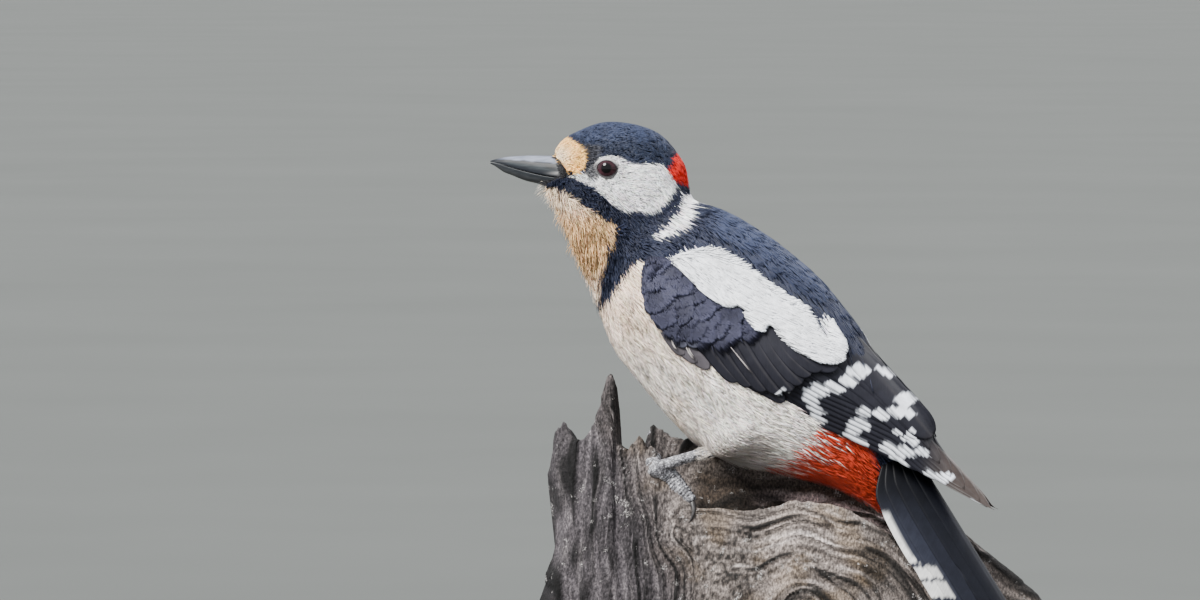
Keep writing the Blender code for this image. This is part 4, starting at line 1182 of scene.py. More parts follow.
# white marks of the folded wing: place in the side view, half length along the feathers, half width
wingMarks = np.array([
    (29, 123.2, 3, 2.4), (26, 119.8, 2.7, 1.5), (21.1, 118.1, 3.2, 1.5), (15.1, 116.9, 3, 2.7),
    (12.9, 113.9, 2.7, 1.3), (15.4, 110.1, 2.7, 1.3), (15.7, 107.4, 2.7, 1.1), (37.7, 123.2, 3.3, 1.2),
    (44.6, 113.8, 2.8, 2.7), (44.7, 109.4, 3, 1.5), (41.5, 109.4, 2.7, 1.3), (36.9, 108.7, 2.8, 1.3),
    (30.7, 109.9, 2.2, 1.5), (30.5, 106, 2.8, 1.4), (28, 105.5, 2.7, 1.5), (27.8, 103.4, 2.3, 1),
    (28.3, 100.7, 4.2, 1.3), (46.7, 100.7, 2.5, 1.3), (42.2, 103, 1.5, 0.7), (47.1, 103.2, 1.3, 0.7),
    (41.4, 97.5, 4.7, 1), (40.2, 96, 4.7, 0.7), (45.6, 97, 3, 1), (50.5, 96.8, 2.5, 1.2),
    (42.7, 93.2, 4.2, 0.8), (55.2, 88.5, 4, 1.1), (59.5, 88.7, 2.1, 1.1), (68.1, 80.1, 2.3, 0.6),
    (3.5, 116.8, 0.7, 1.7),
])
wingTones = dict(quill=(0.0140, 0.0142, 0.0200), tip=(0.046, 0.036, 0.033), covert=(0.019, 0.020, 0.030),
                 rim=(0.052, 0.054, 0.076), mark=(0.80, 0.83, 0.90), shaft=(0.07, 0.065, 0.065))


def wingTint(u, v, l, c, feather):
    # dark quills, browner to the wing's tip, with the white marks cut straight across each feather
    brown = smooth(48, 62, u) * smooth(105, 99, v)
    base = mixed(wingTones["quill"], wingTones["tip"], brown)
    across = u * lieAcross[0] + v * lieAcross[1]
    shift = 0.6 * noise(stacked(feather * 5.1 + 0 * u), 1.0, 71)
    shift = shift + 0.40 * noise(stacked(across, feather * 3.7), 0.42, 73, 2)
    mark = np.zeros(u.shape)
    for cu, cv, long, wide in wingMarks:
        b = ((u - cu) * lieAcross[0] + (v - cv) * lieAcross[1]) / wide
        a = ((u - cu) * lieAlong[0] + (v - cv) * lieAlong[1] + shift - 0.45 * b * wide) / long
        mark = np.maximum(mark, smooth(1.02, 0.90, (np.abs(a) ** 7 + np.abs(b) ** 7) ** (1 / 7)))
    mark = mark * (1 - 0.55 * smooth(0.92, 0.99, np.abs(c)))
    base = mixed(base, wingTones["shaft"], 0.25 * bell(c, 0.07) * smooth(0.3, 0.7, l))
    # painted highlight: a pale line along the edges of the brown quills
    base = base + (0.10 * smooth(0.86, 1.0, np.abs(c)) * brown)[..., None]
    return mixed(base, wingTones["mark"], mark)


def covertTint(u, v, l, c, feather):
    # blue-black with a paler, bluer rim round each tip
    rim = smooth(0.70, 1.0, np.hypot(c * 0.92, np.clip(l - 0.35, 0, 1) / 0.65 * 0.98))
    rim = rim * np.clip(0.6 + 0.9 * noise(stacked(u, v), 3.4, 74, 2), 0, 1.3)
    tone = 1 + 0.30 * noise(stacked(feather * 3.3 + 0 * u), 1.0, 72)
    return mixed(wingTones["covert"], wingTones["rim"], rim) * tone[..., None]


def greyCovertTint(u, v, l, c, feather):
    # a covert's colour, paler towards its tip and slightly different for each feather
    base = np.asarray(wingTones["covert"]) + np.array((0.052, 0.044, 0.042)) * (0.5 + 0.5 * l)[..., None]
    return base * (1 + 0.25 * noise(stacked(feather * 2.3 + 0 * u), 1.0, 76))[..., None]


def lowEdge(a):
    # the folded wing's lower edge, as a height across the feathers for a place along them
    return np.interp(a, (-110, -92, -75, -54, -44, -31, -6, 6, 23.5),
                     (113, 104.5, 98.6, 97.6, 97.9, 99.6, 102.0, 103.3, 104.2))


def topEdge(a):
    # the height of the wing's upper edge at a place along it
    return np.interp(a, (-110, -22, -5.4, 8.7, 19.4, 24.2), (140, 120, 114.2, 109.9, 106.5, 104.4))


quillTips = np.array((-7.0, 0.5, 8.6, 24.0, 19.0, 12.5, 6.5, 1.0, -4.0, -7.0, -9.0, -12.0))


def stackedQuills(steps=88, root=-82):
    # the quills' lower edges show one above another; each is a strip that starts on its own edge line
    tips, i = quillTips[:, None], np.arange(len(quillTips))
    l = np.linspace(0, 1, steps)[None]
    a = root + (tips - root) * l
    # a quill moves down to the edge as the ones below it come to their ends
    ended = smooth(quillTips[:, None] - 11, quillTips[:, None] - 1, a[:, None])
    rank = i[:, None] - (ended * (i < i[:, None])[..., None]).sum(1)
    low = lowEdge(a) + 1.62 * rank * (1 - 0.72 * smooth(-16, 22, a))
    wide = np.minimum(9.0, np.maximum(topEdge(a) - low, 0.9)) * (0.8 + 0.2 * smooth(0, 0.3, l))
    cap = 7.5 / (tips - root)
    end = np.sqrt(np.clip(1 - np.clip((l - (1 - cap)) / cap, 0, 1) ** 1.7, 0.0009, 1))
    middle = low + wide * (0.5 * end + 0.22 * (1 - end))
    centre = a[..., None] * lieAlong + middle[..., None] * lieAcross
    return centre, wide / 2 * end, -1.25 + 0.15 * i


# each layer's feathers: root and tip of each in the side view
tertials = [
    ((2, 131.5), (49.6, 101.2)), ((6, 134.5), (51.6, 101.5)), ((12, 137.5), (53.2, 101.8)), ((18.6, 138),
    (53.6, 101.4)),
]
greaterCoverts = [
    ((8, 134), (21.5, 124.2)), ((2, 138), (16.6, 123.8)), ((-2, 141), (12.9, 122)), ((-6, 143),
    (10.2, 119.4)), ((-10, 145), (7.3, 117.3)), ((-14.5, 146), (3.4, 116.4)), ((-18, 146), (-1.4, 117.2)),
    ((-22, 145), (-6.3, 118.8)), ((-26, 143), (-10.6, 120.4)),
]
medianCoverts = [
    ((-12, 149.5), (-6.4, 136.4)), ((-15.5, 149.5), (-9.5, 135.8)), ((-19, 149), (-12.9, 134.8)),
    ((-22.5, 147.5), (-16.4, 133.4)), ((-26, 145.5), (-20, 132)), ((-29.5, 143.5), (-23.6, 131.6)),
    ((-33, 141.5), (-27.4, 131.8)),
]
wristFeathers = [
    ((-33.5, 138.5), (-20.2, 124.4)), ((-35, 139.5), (-24.2, 126.4)), ((-36.5, 141), (-28.4, 129)),
]
primaryCoverts = [
    ((-29, 134), (4.6, 113.6)), ((-29.5, 135.5), (-1, 116.2)), ((-29.5, 137), (-6.4, 118.8)), ((-29, 138.5),
    (-11.6, 121.2)),
]


def lesserCoverts(rows=9):
    # rows that start at the bend of the wing, smallest in front, each lying over the next
    front = np.array([(-38.6, 155.8), (-39.8, 149.6), (-38.8, 143.0), (-35.6, 137.4), (-32.0, 134.6)])
    back = np.array([(-18.0, 149.5), (-18.0, 146.0), (-18.0, 142.5), (-20.5, 139.0), (-24.0, 136.5)])
    steep, level = np.array((0.30, -0.95)), np.array((0.72, -0.68))
    feathers = []
    for row in range(rows):
        share = row / (rows - 1)
        width = 2.9 + 2.0 * share
        at = np.linspace(0, 4, 9 if row < 5 else 8) + (0.22 if row % 2 else 0.0)
        for k, spot in enumerate(curveThrough(front + (back - front) * share**1.1, at)):
            sway = 0.30 * lattice(np.int64(row), np.int64(k), np.int64(3), 5)
            lie = steep + (level - steep) * share + sway * np.array((0.5, 0.3))
            feathers.append((*(spot - lie / np.linalg.norm(lie) * width * 1.9),
                             *spot, width * (1 + 0.3 * sway),
                             0.35 - 0.45 * share))
    table = np.array(feathers)
    return table[:, :2], table[:, 2:4], table[:, 4:5], table[:, 5]


def layer(side, roots, tips, width, lift, rise, tilt, curl, tintOf, steps, bow, ends, shaft, seed, split,
          columns=11):
    # a layer of feathers over the wing: each starts at its own lift and rises to its tip, tilted across
    # and with its edges curled down
    l, c = np.linspace(0, 1, steps), np.linspace(-1, 1, columns)
    half = roundEnded(width, np.linalg.norm(tips - roots, axis=1), steps, *ends)
    height = (lift[:, None] + rise * l)[..., None] - tilt * c - curl * np.abs(c) ** 3
    return vaneSet(straight(roots, tips, steps, bow), half, height, overWing,
                   side, tintOf, shaft, seed, split)


def makeTertials(side, steps=90, columns=11):
    # the long inner feathers; their upper edges bend round towards the back
    roots, tips = np.moveaxis(np.array(tertials), 1, 0)
    l, c = np.linspace(0, 1, steps), np.linspace(-1, 1, columns)
    half = roundEnded(np.array((6.4, 8.0, 9.2, 9.4))[:, None],
                      np.linalg.norm(tips - roots, axis=1), steps, 0.85, 0.3)
    lift = 0.25 + 0.22 * np.arange(len(tertials))[:, None] - 1.4 * smooth(0.28, 0.0, l)
    wrap = np.array((0.1, 0.2, 0.5, 1.0))[:, None, None] * smooth(0.1, 1.0, c)
    height = lift[..., None] - 0.14 * c - 0.32 * np.abs(c) ** 3 - 0.5 * smooth(0.75, 1, l)[:, None] - wrap
    centre = straight(roots, tips, steps, np.array((1.2, 1.6, 1.6, 0.7))[:, None, None])
    return vaneSet(centre, half, height, overWing, side, wingTint, 0.10, 2, 0.04)


def makeWingBed(name, side, material):
    # the folded wing as a closed body, a little inside its feathers
    rows = drawn(wingSections, 120)
    t = np.linspace(0.02, 0.98, 26)
    face = wingFacePoints(rows, t)[..., [0, 2, 1]]
    face[..., 1] -= 1.5
    inner = face.copy()
    inner[..., 1] -= 0.5 + np.maximum(rows[:, None, 7] - 1.6, 0.1) * np.sqrt(np.sin(math.pi * t))
    ring = np.concatenate([face, inner[:, ::-1]], 1)
    ring[..., 1] *= side
    makeClosed(f"wing_bed_{name}", [ring], material, "flight_feathers", f"wing_{name}")


def makeWings():
    # each wing is a closed bed with its layers of feathers over it
    quill = vaneFinish("wing_quills", 0.52, 0.12)
    covert = vaneFinish("wing_coverts", 0.52, 0.18)
    bed, tree, shader = newFinish("wing_bed", 0.8)
    tone = ramp(tree, grain(tree, 600, 4, (1, 1, 0.4)), (0.3, (0.012, 0.012, 0.014)),
                (0.7, (0.030, 0.030, 0.036)))
    wear(tree, shader, tone, grain(tree, 1500, 3), 0.0002, 0.7)
    c = np.linspace(-1, 1, 11)
    for side, name in bothSides:
        makeWingBed(name, side, bed)
        # quills in a stack, then the tertials over them, then the long coverts
        centre, half, lift = stackedQuills()
        height = (lift[:, None, None] + np.zeros((1, half.shape[1], 1))) - 0.16 * c - 0.10 * np.abs(c) ** 3
        sets = [vaneSet(centre, half, height, overWing, side, wingTint, 0.07, 1, 0.05), makeTertials(side)]
        for pairs, width, lift, gain, bow in ((primaryCoverts, 3.6, 0.0, 0.07, -0.8),
                                              (greaterCoverts, 6.0, 0.75, -0.07, -1.6)):
            order = np.arange(len(pairs)) + (0 if gain > 0 else -len(pairs))
            sets.append(layer(side, *np.moveaxis(np.array(pairs), 1, 0), width,
                              lift + gain * order, 0.25, 0.16, 0.22,
                              wingTint, 50, bow, (0.7,), 0.08, 3, 0.10))
        joinVanes(f"wing_quills_{name}", sets, quill)
        sets = []
        for pairs, width, lift, tintOf in ((wristFeathers, 4.4, 0.6, greyCovertTint),
                                           (medianCoverts, 5.6, 1.25, covertTint)):
            sets.append(layer(side, *np.moveaxis(np.array(pairs), 1, 0), width, lift + 0.06
                              * np.arange(len(pairs)), 0.35,
                              0.0, 0.30, tintOf, 26, -0.8, (0.9,), 0.05, 4, 0.18))
        roots, tips, width, lift = lesserCoverts()
        sets.append(layer(side, roots, tips, width, 0.9 + lift, 0.75, 0.0,
                          0.35, covertTint, 14, -0.2, (0.9, 0.7),
                          0.0, 5, 0.25, 7))
        joinVanes(f"wing_coverts_{name}", sets, covert)
    print("wings")


tailShape = dict(root=(46.0, 101.8), tip=(88.8, 36.0), halfWidth=15.0, drop=14.4, rootWidth=0.66,
                 camber=1.5, opening=1.6, outerShare=0.80)
# each tail feather from the outermost in: its place across the tail, width, and how grey it is;
# then how white it is and where the white starts
tailFeathers = np.array([
    (0.9, 5, 2.2, 1, 0.385), (0.7, 6.4, 1.8, 0.75, 0.66), (0.5, 7, 0.7, 0, 2), (0.29, 7.2, 0, 0, 2),
    (0.1, 7, 0, 0, 2),
])


def overTail(a, b, lift, side):
    # a: distance down the tail; b: distance outwards; the two halves slope away from the middle like a tent
    shape = tailShape
    root, tip = np.array(shape["root"]), np.array(shape["tip"])
    length = np.linalg.norm(tip - root)
    heading = (tip - root) / length
    opened = np.sin(np.clip(a / length * shape["opening"], 0, 1) * math.pi / 2)
    spread = shape["rootWidth"] + (1 - shape["rootWidth"]) * opened
    c = np.abs(b / (shape["halfWidth"] * spread))
    fall = shape["drop"] * spread * c ** shape["camber"]
    slope = shape["drop"] * shape["camber"] * c ** (shape["camber"] - 1) / shape["halfWidth"]
    lean = np.sqrt(1 + slope**2)
    rise = lift / lean - fall
    return np.stack([root[0] + heading[0] * a - heading[1] * rise, side * (b + lift * slope / lean),
                     root[1] + heading[1] * a + heading[0] * rise], -1)


def tailTint(u, v, l, c, feather):
    # near black, greyer outwards; the outer feathers are white in their outer webs, with dark bars
    grey, outer, start = (tailFeathers[feather, i] for i in (2, 3, 4))
    base = np.array((0.0058, 0.0065, 0.0100)) * (0.3 + 0.7 * smooth(0.15, 0.55, l))[..., None]
    base = base * (1 + grey * smooth(0.22, 0.42, l))[..., None]
    ragged = 0.012 * noise(stacked(c * 6, feather * 3.1), 1.0, 75, 2)
    white = outer * smooth(start - 0.02, start + 0.02, l + 0.03 * np.abs(c) + ragged)
    for at, wide in ((0.655, 0.012), (0.74, 0.008), (0.86, 0.020)):
        white = white * (1 - smooth(wide + 0.006, wide - 0.006, np.abs(l - at + 0.03 * np.abs(c) + ragged)))
    web = np.where(feather == 1, 0.40, 0.52 - 0.70 * smooth(0.58, 0.74, l))
    white = white * smooth(web - 0.06, web + 0.06, c + 2 * ragged)
    return mixed(mixed(base, (0.03, 0.03, 0.038), 0.4 * bell(c, 0.07)), (0.60, 0.60, 0.59), white)


def makeTail(steps=100, columns=13):
    # ten stiff pointed feathers, the middle pair on top, and the outer ones barred white
    quill = vaneFinish("tail_quills", 0.46, 0.10)
    length = math.dist(tailShape["root"], tailShape["tip"])
    c = np.linspace(-1, 1, columns)
    l = np.linspace(0, 1, steps)
    shares, widths = tailFeathers[:, 0], tailFeathers[:, 1]

    def narrowed(out, a):
        # the tail narrows into the body at its root
        return out * (0.35 + 0.65 * smooth(-4, 15, a))

    for side, name in bothSides:
        reach = length * (1 - (1 - tailShape["outerShare"]) * shares)
        a = reach[:, None] * l - 9.0 * (1 - l) ** 2
        fan = 0.62 + 0.38 * np.sin(np.clip(l * 1.6, 0, 1) * math.pi / 2)
        b = narrowed((shares * tailShape["halfWidth"])[:, None] * fan, a)
        half = (widths[:, None] / 2 * (0.7 + 0.3 * smooth(0, 0.4, l))
                * np.maximum(smooth(1.0, 0.80, l) ** 0.75, 0.03))
        lift = 0.35 + 0.22 * np.arange(5)[:, None] - 0.35 * smooth(0.8, 1, l) - 6 * smooth(0.17, 0.0, l)
        height = lift[..., None] + 0.10 * c - 0.25 * np.abs(c) ** 3
        sets = [vaneSet(np.stack([a, b], -1), half, height, overTail, side, tailTint, 0.14, 6, 0.10)]
        joinVanes(f"tail_quills_{name}", sets, quill, *(("tail",) if side < 0 else ()), thickness=0.25)
    # the bed: the same tent under the quills, closed, that shows from below and sinks into the body at its root
    a = np.linspace(0, length * 0.80, 50)[:, None]
    fan = 0.60 + 0.36 * np.sin(np.clip(a / length * 1.6, 0, 1) * math.pi / 2)
    out = narrowed(np.linspace(-1, 1, 41) * tailShape["halfWidth"] * fan, a)
    sheets = []
    for lift in (0.1, -0.9):
        sheet = overTail(a + 0 * out, np.abs(out), lift - 6 * smooth(11, 0, a), 1)
        sheet[..., 1] = np.sign(out) * np.abs(sheet[..., 1])
        sheets.append(sheet)
    makeClosed("tail_bed", [np.concatenate([sheets[0], sheets[1][:, ::-1]], 1)], quill, "flight_feathers")
    print("tail")


makeWings()
makeTail()


# a tuft is a slim lance of three sides: two or three rings from the root, and a point
tuftForms = {2: dict(at=(0.0, 0.46, 1.0), wide=(0.62, 1.0), shade=(0.0, 0.75)),
             3: dict(at=(0.0, 0.36, 0.73, 1.0), wide=(0.55, 1.0, 0.66), shade=(0.0, 0.7, 1.0))}
coatShape = dict(patch=0.003, ridge=0.26, faces=195000, cover=8.6, longest=3.6)


def tuftPieces(name, spine, normal, width, tint, tipTint, rootMap, material, slot, ridge=coatShape["ridge"]):
    # spine and normal: tufts x rings + 1 x 3; rootMap: the root's place on the skin's own unwrap
    count, rings = len(spine), spine.shape[1] - 1
    form, last = tuftForms[rings], 3 * rings
    heading = unit(np.gradient(spine, axis=1))
    sideways = unit(np.cross(normal, heading))
    up = np.cross(heading, sideways)[:, :rings]
    half = (width[:, None] / 2 * np.array(form["wide"]))[..., None]
    middle, aside = spine[:, :rings], half * sideways[:, :rings]
    crest = middle + half * 2 * np.broadcast_to(ridge, count)[:, None, None] * up
    lance = np.stack([middle - aside, crest, middle + aside], 2).reshape(count, -1, 3)
    points = np.concatenate([lance, spine[:, rings:]], 1)
    quads = np.array([(ring + a, ring + b, ring + 3 + b, ring + 3 + a)
                      for ring in range(0, last - 3, 3) for a, b in ((0, 1), (1, 2), (2, 0))])
    tris = np.array([(last - 3, last - 2, last), (last - 2, last - 1, last),
                     (last - 1, last - 3, last), (2, 1, 0)])
    toTip = np.concatenate([np.repeat(np.array(form["at"][:rings]) ** 2, 3), [1.0]])[:, None]
    # roots lie in shadow, deeper in dark plumage
    low = (0.50 + 0.40 * smooth(0.05, 0.6, tint.mean(-1)))[:, None, None]
    shade = low + (1 - low) * np.concatenate([np.repeat(form["shade"], 3), [1.0]])[:, None]
    tints = (tint[:, None] * (1 - toTip) + tipTint[:, None] * toTip) * shade
    own = np.array([(x, y) for y in form["at"][:rings] for x in (0.0, 0.5, 1.0)] + [(0.5, 1.0)])
    own[1:last:3, 1] -= 0.12
    bake = np.clip(rootMap[:, None] + coatShape["patch"] * (own - 0.5), 0, 1)
    pieces = max(1, math.ceil(count * (6 * rings - 2) / coatShape["faces"]))
    for number, part in enumerate(np.array_split(np.arange(count), pieces), start=1):
        offset = (np.arange(len(part)) * (last + 1))[:, None, None]
        faces = [(quads + offset).reshape(-1, 4), (tris + offset).reshape(-1, 3)]
        label = name if pieces == 1 else f"{name}_{number}"
        place(makeMesh(label, points[part], faces, material, tints[part], dict(OFBake=bake[part])), slot)


# how many tufts are strewn over each patch that has its own
tuftCounts = dict(shoulder=11500, bend=14500, bristles=460, chin=150, cuffs=620)


def coatFinish():
    # each tuft's own tint under two fine clouds of grey
    finish, tree, shader = newFinish("coat_feathers", 0.50, Specular_IOR_Level=0.20)
    cloud = ramp(tree, grain(tree, 420, 4), (0.3, 0.84), (0.7, 1.14))
    fine = ramp(tree, grain(tree, 3000, 2), (0.3, 0.86), (0.7, 1.12))
    wear(tree, shader, tinted(tree, cloud, fine))
    return finish


down = coatFinish()


def nearestFeather(points, size, seed):
    # the middle of the feather that each place belongs to, and that feather's own number from -1 to 1
    size = np.asarray(size)[..., None]
    cell = np.floor(points / size).astype(np.int64)
    best = np.full(len(points), 1e9)
    middle, number = np.zeros_like(points), np.zeros(len(points))
    for step in np.ndindex(3, 3, 3):
        i, j, k = spot = (cell + step - 1).T
        jitter = np.stack([lattice(i, j, k, seed + axis) for axis in range(3)], -1)
        spot = (spot.T + 0.5 + 0.38 * jitter) * size
        gap = np.linalg.norm(points - spot, axis=1)
        closer = gap < best
        best = np.where(closer, gap, best)
        middle[closer] = spot[closer]
        number[closer] = lattice(i, j, k, seed + 7)[closer]
    return middle, number


def spreadMask(mask, steps):
    # grown by so many half millimetres, or shrunk where steps is negative
    pick = np.maximum if steps > 0 else np.minimum
    for _ in range(abs(steps)):
        mask = pick.reduce([mask, *neighbours(mask)])
    return mask


# lengths and widths of the tufts down the back and down the front, from bill to vent:
# section, back length, front length, back width, front width, back lift, front lift
coatRows = np.array([
    (0, 1.6, 2.8, 0.28, 0.25, 0.15, 0.5), (1, 2.2, 4.6, 0.3, 0.29, 0.2, 1.1),
    (2.5, 2.8, 5.8, 0.36, 0.32, 0.22, 1.3), (4, 3.2, 6.4, 0.4, 0.35, 0.25, 1.2),
    (5.6, 3.8, 6.6, 0.44, 0.39, 0.3, 1), (7, 5, 6.8, 0.54, 0.42, 0.35, 0.7),
    (9, 6.4, 8, 0.66, 0.39, 0.4, 0.55), (12, 8, 9.6, 0.78, 0.38, 0.45, 0.6),
    (15, 9, 10, 0.78, 0.42, 0.45, 0.7), (17, 8, 9.5, 0.7, 0.5, 0.4, 0.6),
])
# which way the strands lie on head and neck: u, v, degrees below the level towards the tail
lieRows = np.array([
    (-55.6, 185.6, 28), (-47.6, 191, 4), (-43.6, 185.2, 16), (-34.3, 190.5, 34), (-31.5, 185.2, 55),
    (-47.6, 178.4, 32), (-37.5, 177.2, 48), (-64.5, 190.9, 36), (-59.6, 182.1, 42), (-49.6, 174.8, 42),
    (-33.5, 174.4, 55), (-66.5, 198.5, -28), (-57.6, 201.5, -10), (-47.6, 199.5, 6), (-35.5, 195.5, 40),
    (-29.5, 190.5, 64), (-27.9, 179.6, 34), (-31.5, 174.8, 38), (-69.5, 181.6, 68), (-74.6, 182.6, 100),
    (-58.9, 176.7, 58), (-56.4, 159.8, 80), (-64.9, 168.3, 88), (-49.2, 156.3, 66), (-22, 172, 44),
])


def lieAngle(points, along, around):
    # the table's direction at each place, found in the skin's own plane as a turn away from along
    u, v = sideView(points)
    near = 1 / ((u[:, None] - lieRows[:, 0]) ** 2 + (v[:, None] - lieRows[:, 1]) ** 2 + 6.0) ** 2
    near /= near.sum(1, keepdims=True)
    slant = np.radians(lieRows[:, 2])
    du, dv = near @ np.cos(slant), -(near @ np.sin(slant))
    out = np.sign(points[:, 1])
    (au, av), (bu, bv) = (seenFromSide(way[:, 0], out * way[:, 1], way[:, 2]) for way in (along, around))
    facing = au * bv - av * bu
    turn = np.arctan2((au * dv - av * du) * np.sign(facing), (du * bv - dv * bu) * np.sign(facing))
    return turn * smooth(0.25, 0.65, np.abs(facing))


def coatCut(s, t, points):
    # length, width and lift of the coat at a place, all smaller near the eye,
    # and how far round to the front it is
    eye, _ = eyeCentre(right)
    values = np.stack([np.interp(s, coatRows[:, 0], column) for column in coatRows.T[1:]], -1)
    front = smooth(0.45, -0.35, np.cos(t))
    length, width, lift = np.moveaxis(values[..., 0::2] * (1 - front[..., None])
                                      + values[..., 1::2] * front[..., None], -1, 0)
    small = 0.34 + 0.66 * smooth(2.8, 8.0, np.hypot(points[..., 0] - eye[0], points[..., 2] - eye[2]))
    return length * small, width * (0.65 + 0.35 * small), lift * small, front


def coatDensity(s, t, folded):
    # tufts per square millimetre: none under the wings, in the eyes, or on the bill
    length, width, _, front = coatCut(s, t, outerSkin)
    x, z = outerSkin[..., 0], outerSkin[..., 2]
    u, v = sideView(outerSkin)
    hidden = np.where(u < -28, readMap(softened(spreadMask(folded, -3), 1), x, z),
                      readMap(softened(spreadMask(folded, -7), 2), x, z))
    hidden = hidden * (np.abs(outerNormal[..., 1]) > 0.15)
    eye, _ = eyeCentre(right)
    density = coatShape["cover"] / (width * length) * smooth(0.6, 0.4, hidden)
    density = density * (1 + 0.25 * smooth(0.2, 0.5, plumage(outerSkin).mean(-1)) * front)
    density = np.where(np.hypot(x - eye[0], (z - eye[2]) * 1.12) < eyeShape["long"] + 0.55, 0, density)
    return density * smooth(0.65, 0.35, inside(billBase, u, v, 0.4))


# the coat's zones along the body: first and last section, and a tuft's rings
coatZones = dict(face_feathers=(0, 2.3, 2), crown_feathers=(2.3, 3.9, 2), nape_feathers=(3.9, 5.6, 2),
                 neck_feathers=(5.6, 8.0, 3), breast_feathers=(8.0, 10.4, 3), flank_feathers=(10.4, 13.0, 3),
                 vent_feathers=(13.0, 99, 3))


def makeCoat():
    # tufts strewn over the skin by the density wanted, each bent along the skin with its tip lifted
    rng = np.random.default_rng(5)
    stepS, stepT = skinS[1] - skinS[0], skinT[1] - skinT[0]
    speedS = np.linalg.norm(np.gradient(outerSkin, axis=0), axis=-1) / stepS
    speedT = np.linalg.norm(np.roll(outerSkin, -1, 1) - np.roll(outerSkin, 1, 1), axis=-1) / (2 * stepT)
    speedT = np.maximum(speedT, 1.2)
    density = coatDensity(*np.meshgrid(skinS, skinT, indexing="ij"), wingMask)
    weight = (density * speedS * speedT * stepS * stepT)[:-1].ravel()
    count = int(weight.sum())
    total = np.cumsum(weight)
    pick = np.minimum(np.searchsorted(total, (np.arange(count) + rng.random(count)) / count * total[-1]),
                      len(weight) - 1)
    s = skinS[pick // len(skinT)] + rng.random(count) * stepS
    t = skinT[pick % len(skinT)] + (rng.random(count) - 0.5) * stepT
    root = onSkin(s, t, outerSkin)
    normal = unit(onSkin(s, t, outerNormal))
    along = unit(onSkin(s, t, outerAlong))
    around = np.cross(normal, along)
    around = around * np.sign((around * stacked(0, np.cos(t), -np.sin(t))).sum(-1))[:, None]
    length, width, lift, front = coatCut(s, t, root)
    u, v = sideView(root)
    dark = smooth(0.20, 0.06, plumage(root).mean(-1))
    back = smooth(7, 9, s) * dark
    cheek = inside(markings["cheek"], u, v)
    shaggy = inside(markings["throat"], u, v) * smooth(7.5, 6.5, s)
    crown = dark * smooth(188, 191, v) * smooth(-26, -30, u)
    malar = dark * smooth(189, 186, v) * smooth(-50, -55, u) * smooth(174, 177, v)
    silky = (1 - dark) * front * smooth(6, 8, s)
    # strands gather into feathers: on the back each one fans out to a rounded end, elsewhere they draw together
    size = 1.2 * np.round((2.0 + 1.4 * shaggy + 2.6 * silky + 0.45 * length * back) / 1.2)
    middle, number = nearestFeather(root, size, 80)
    a, b = (((root - middle) * way).sum(-1) / size for way in (along, around))
    angle = lieAngle(root, along, around) * smooth(9.5, 7.0, s)
    angle += (0.40 * back - 0.85 * shaggy - 0.18 * silky - 0.22 * cheek) * b
    angle += 0.16 * noise(root, 5.0, 81) + rng.normal(0, 0.08, count) + (0.10 + 0.22 * shaggy) * number
    angle += 0.75 * crown * noise(root, 1.5, 82) + 1.1 * malar * noise(root, 1.2, 83)
    angle += (0.10 + 0.12 * shaggy) * (1 - dark) * front * rng.normal(0, 1, count)
    angle += (np.sign(np.sin(t)) * 0.25 * back * bell(np.abs(np.sin(t)) - 0.75, 0.30) * (np.cos(t) > 0)
              * smooth(15, 11, s))
    ending = np.clip(1.10 - 0.50 * a - 0.40 * b * b + 0.15 * rng.normal(0, 1, count), 0.55, 1.6)
    length = length * (back * ending + (1 - back) * (0.70 + 0.60 * rng.random(count)))
    length = length * (1 - 0.30 * malar) * (1 + 0.45 * cheek)
    width = width * (1 - 0.16 * cheek)
    # the belly's lower edge hangs in a fringe
    fringe = silky * smooth(-0.86, -0.97, np.cos(t)) * smooth(11.8, 12.6, s) * (rng.random(count) < 0.35)
    streak = noise(stacked(s * 1.3, t * 15), 1.0, 84, 2)
    lift = lift * (1 - 0.55 * dark * (1 - 0.8 * malar)) * (1 - 0.55 * cheek) * (0.4 + 1.2 * rng.random(count))
    lift = (lift * (1 - silky) + silky * (0.30 + 0.12 * streak + 0.10 * rng.random(count)) + 0.10 * number
            * back)
    lift = (lift * (1 - 0.25 * shaggy)
            + shaggy * smooth(150, 172, v) * (0.4 * np.abs(number) + 0.8 * np.maximum(number, 0)))
    lift = np.where(rng.random(count) < 0.10 * shaggy + 0.03 * silky, lift * 1.9, lift)
    lift = np.maximum(lift + 1.5 * fringe * rng.random(count), 0.02)
    here, there = (onSkin(s, t, speed[..., None])[:, 0] for speed in (speedS, speedT))
    part = 0.62 + 0.55 * silky * (rng.random(count) - 0.5)
    # some of the belly's strands run on over the vent in their own colour
    part = np.where(rng.random(count) < 0.35 * silky * smooth(11.5, 12.5, s),
                    0.7 * rng.random(count) - 0.6, part)
    colourAt = root + (part * length)[:, None] * turned(along, angle, around)
    tint = plumage(colourAt + rng.normal(0, 0.20, root.shape))
    dark = smooth(0.20, 0.06, tint.mean(-1))
    tone = ((0.07 + 0.05 * shaggy + 0.10 * dark) * number + (0.09 + 0.06 * shaggy)
            * rng.normal(0, 1, count).clip(-2, 2))
    tone = tone + (0.10 * silky + 0.08 * cheek) * streak
    tint = tint * (1 + tone)[:, None] * (1 + 0.04 * (1 - dark)[:, None] * rng.normal(0, 1, (count, 3)))
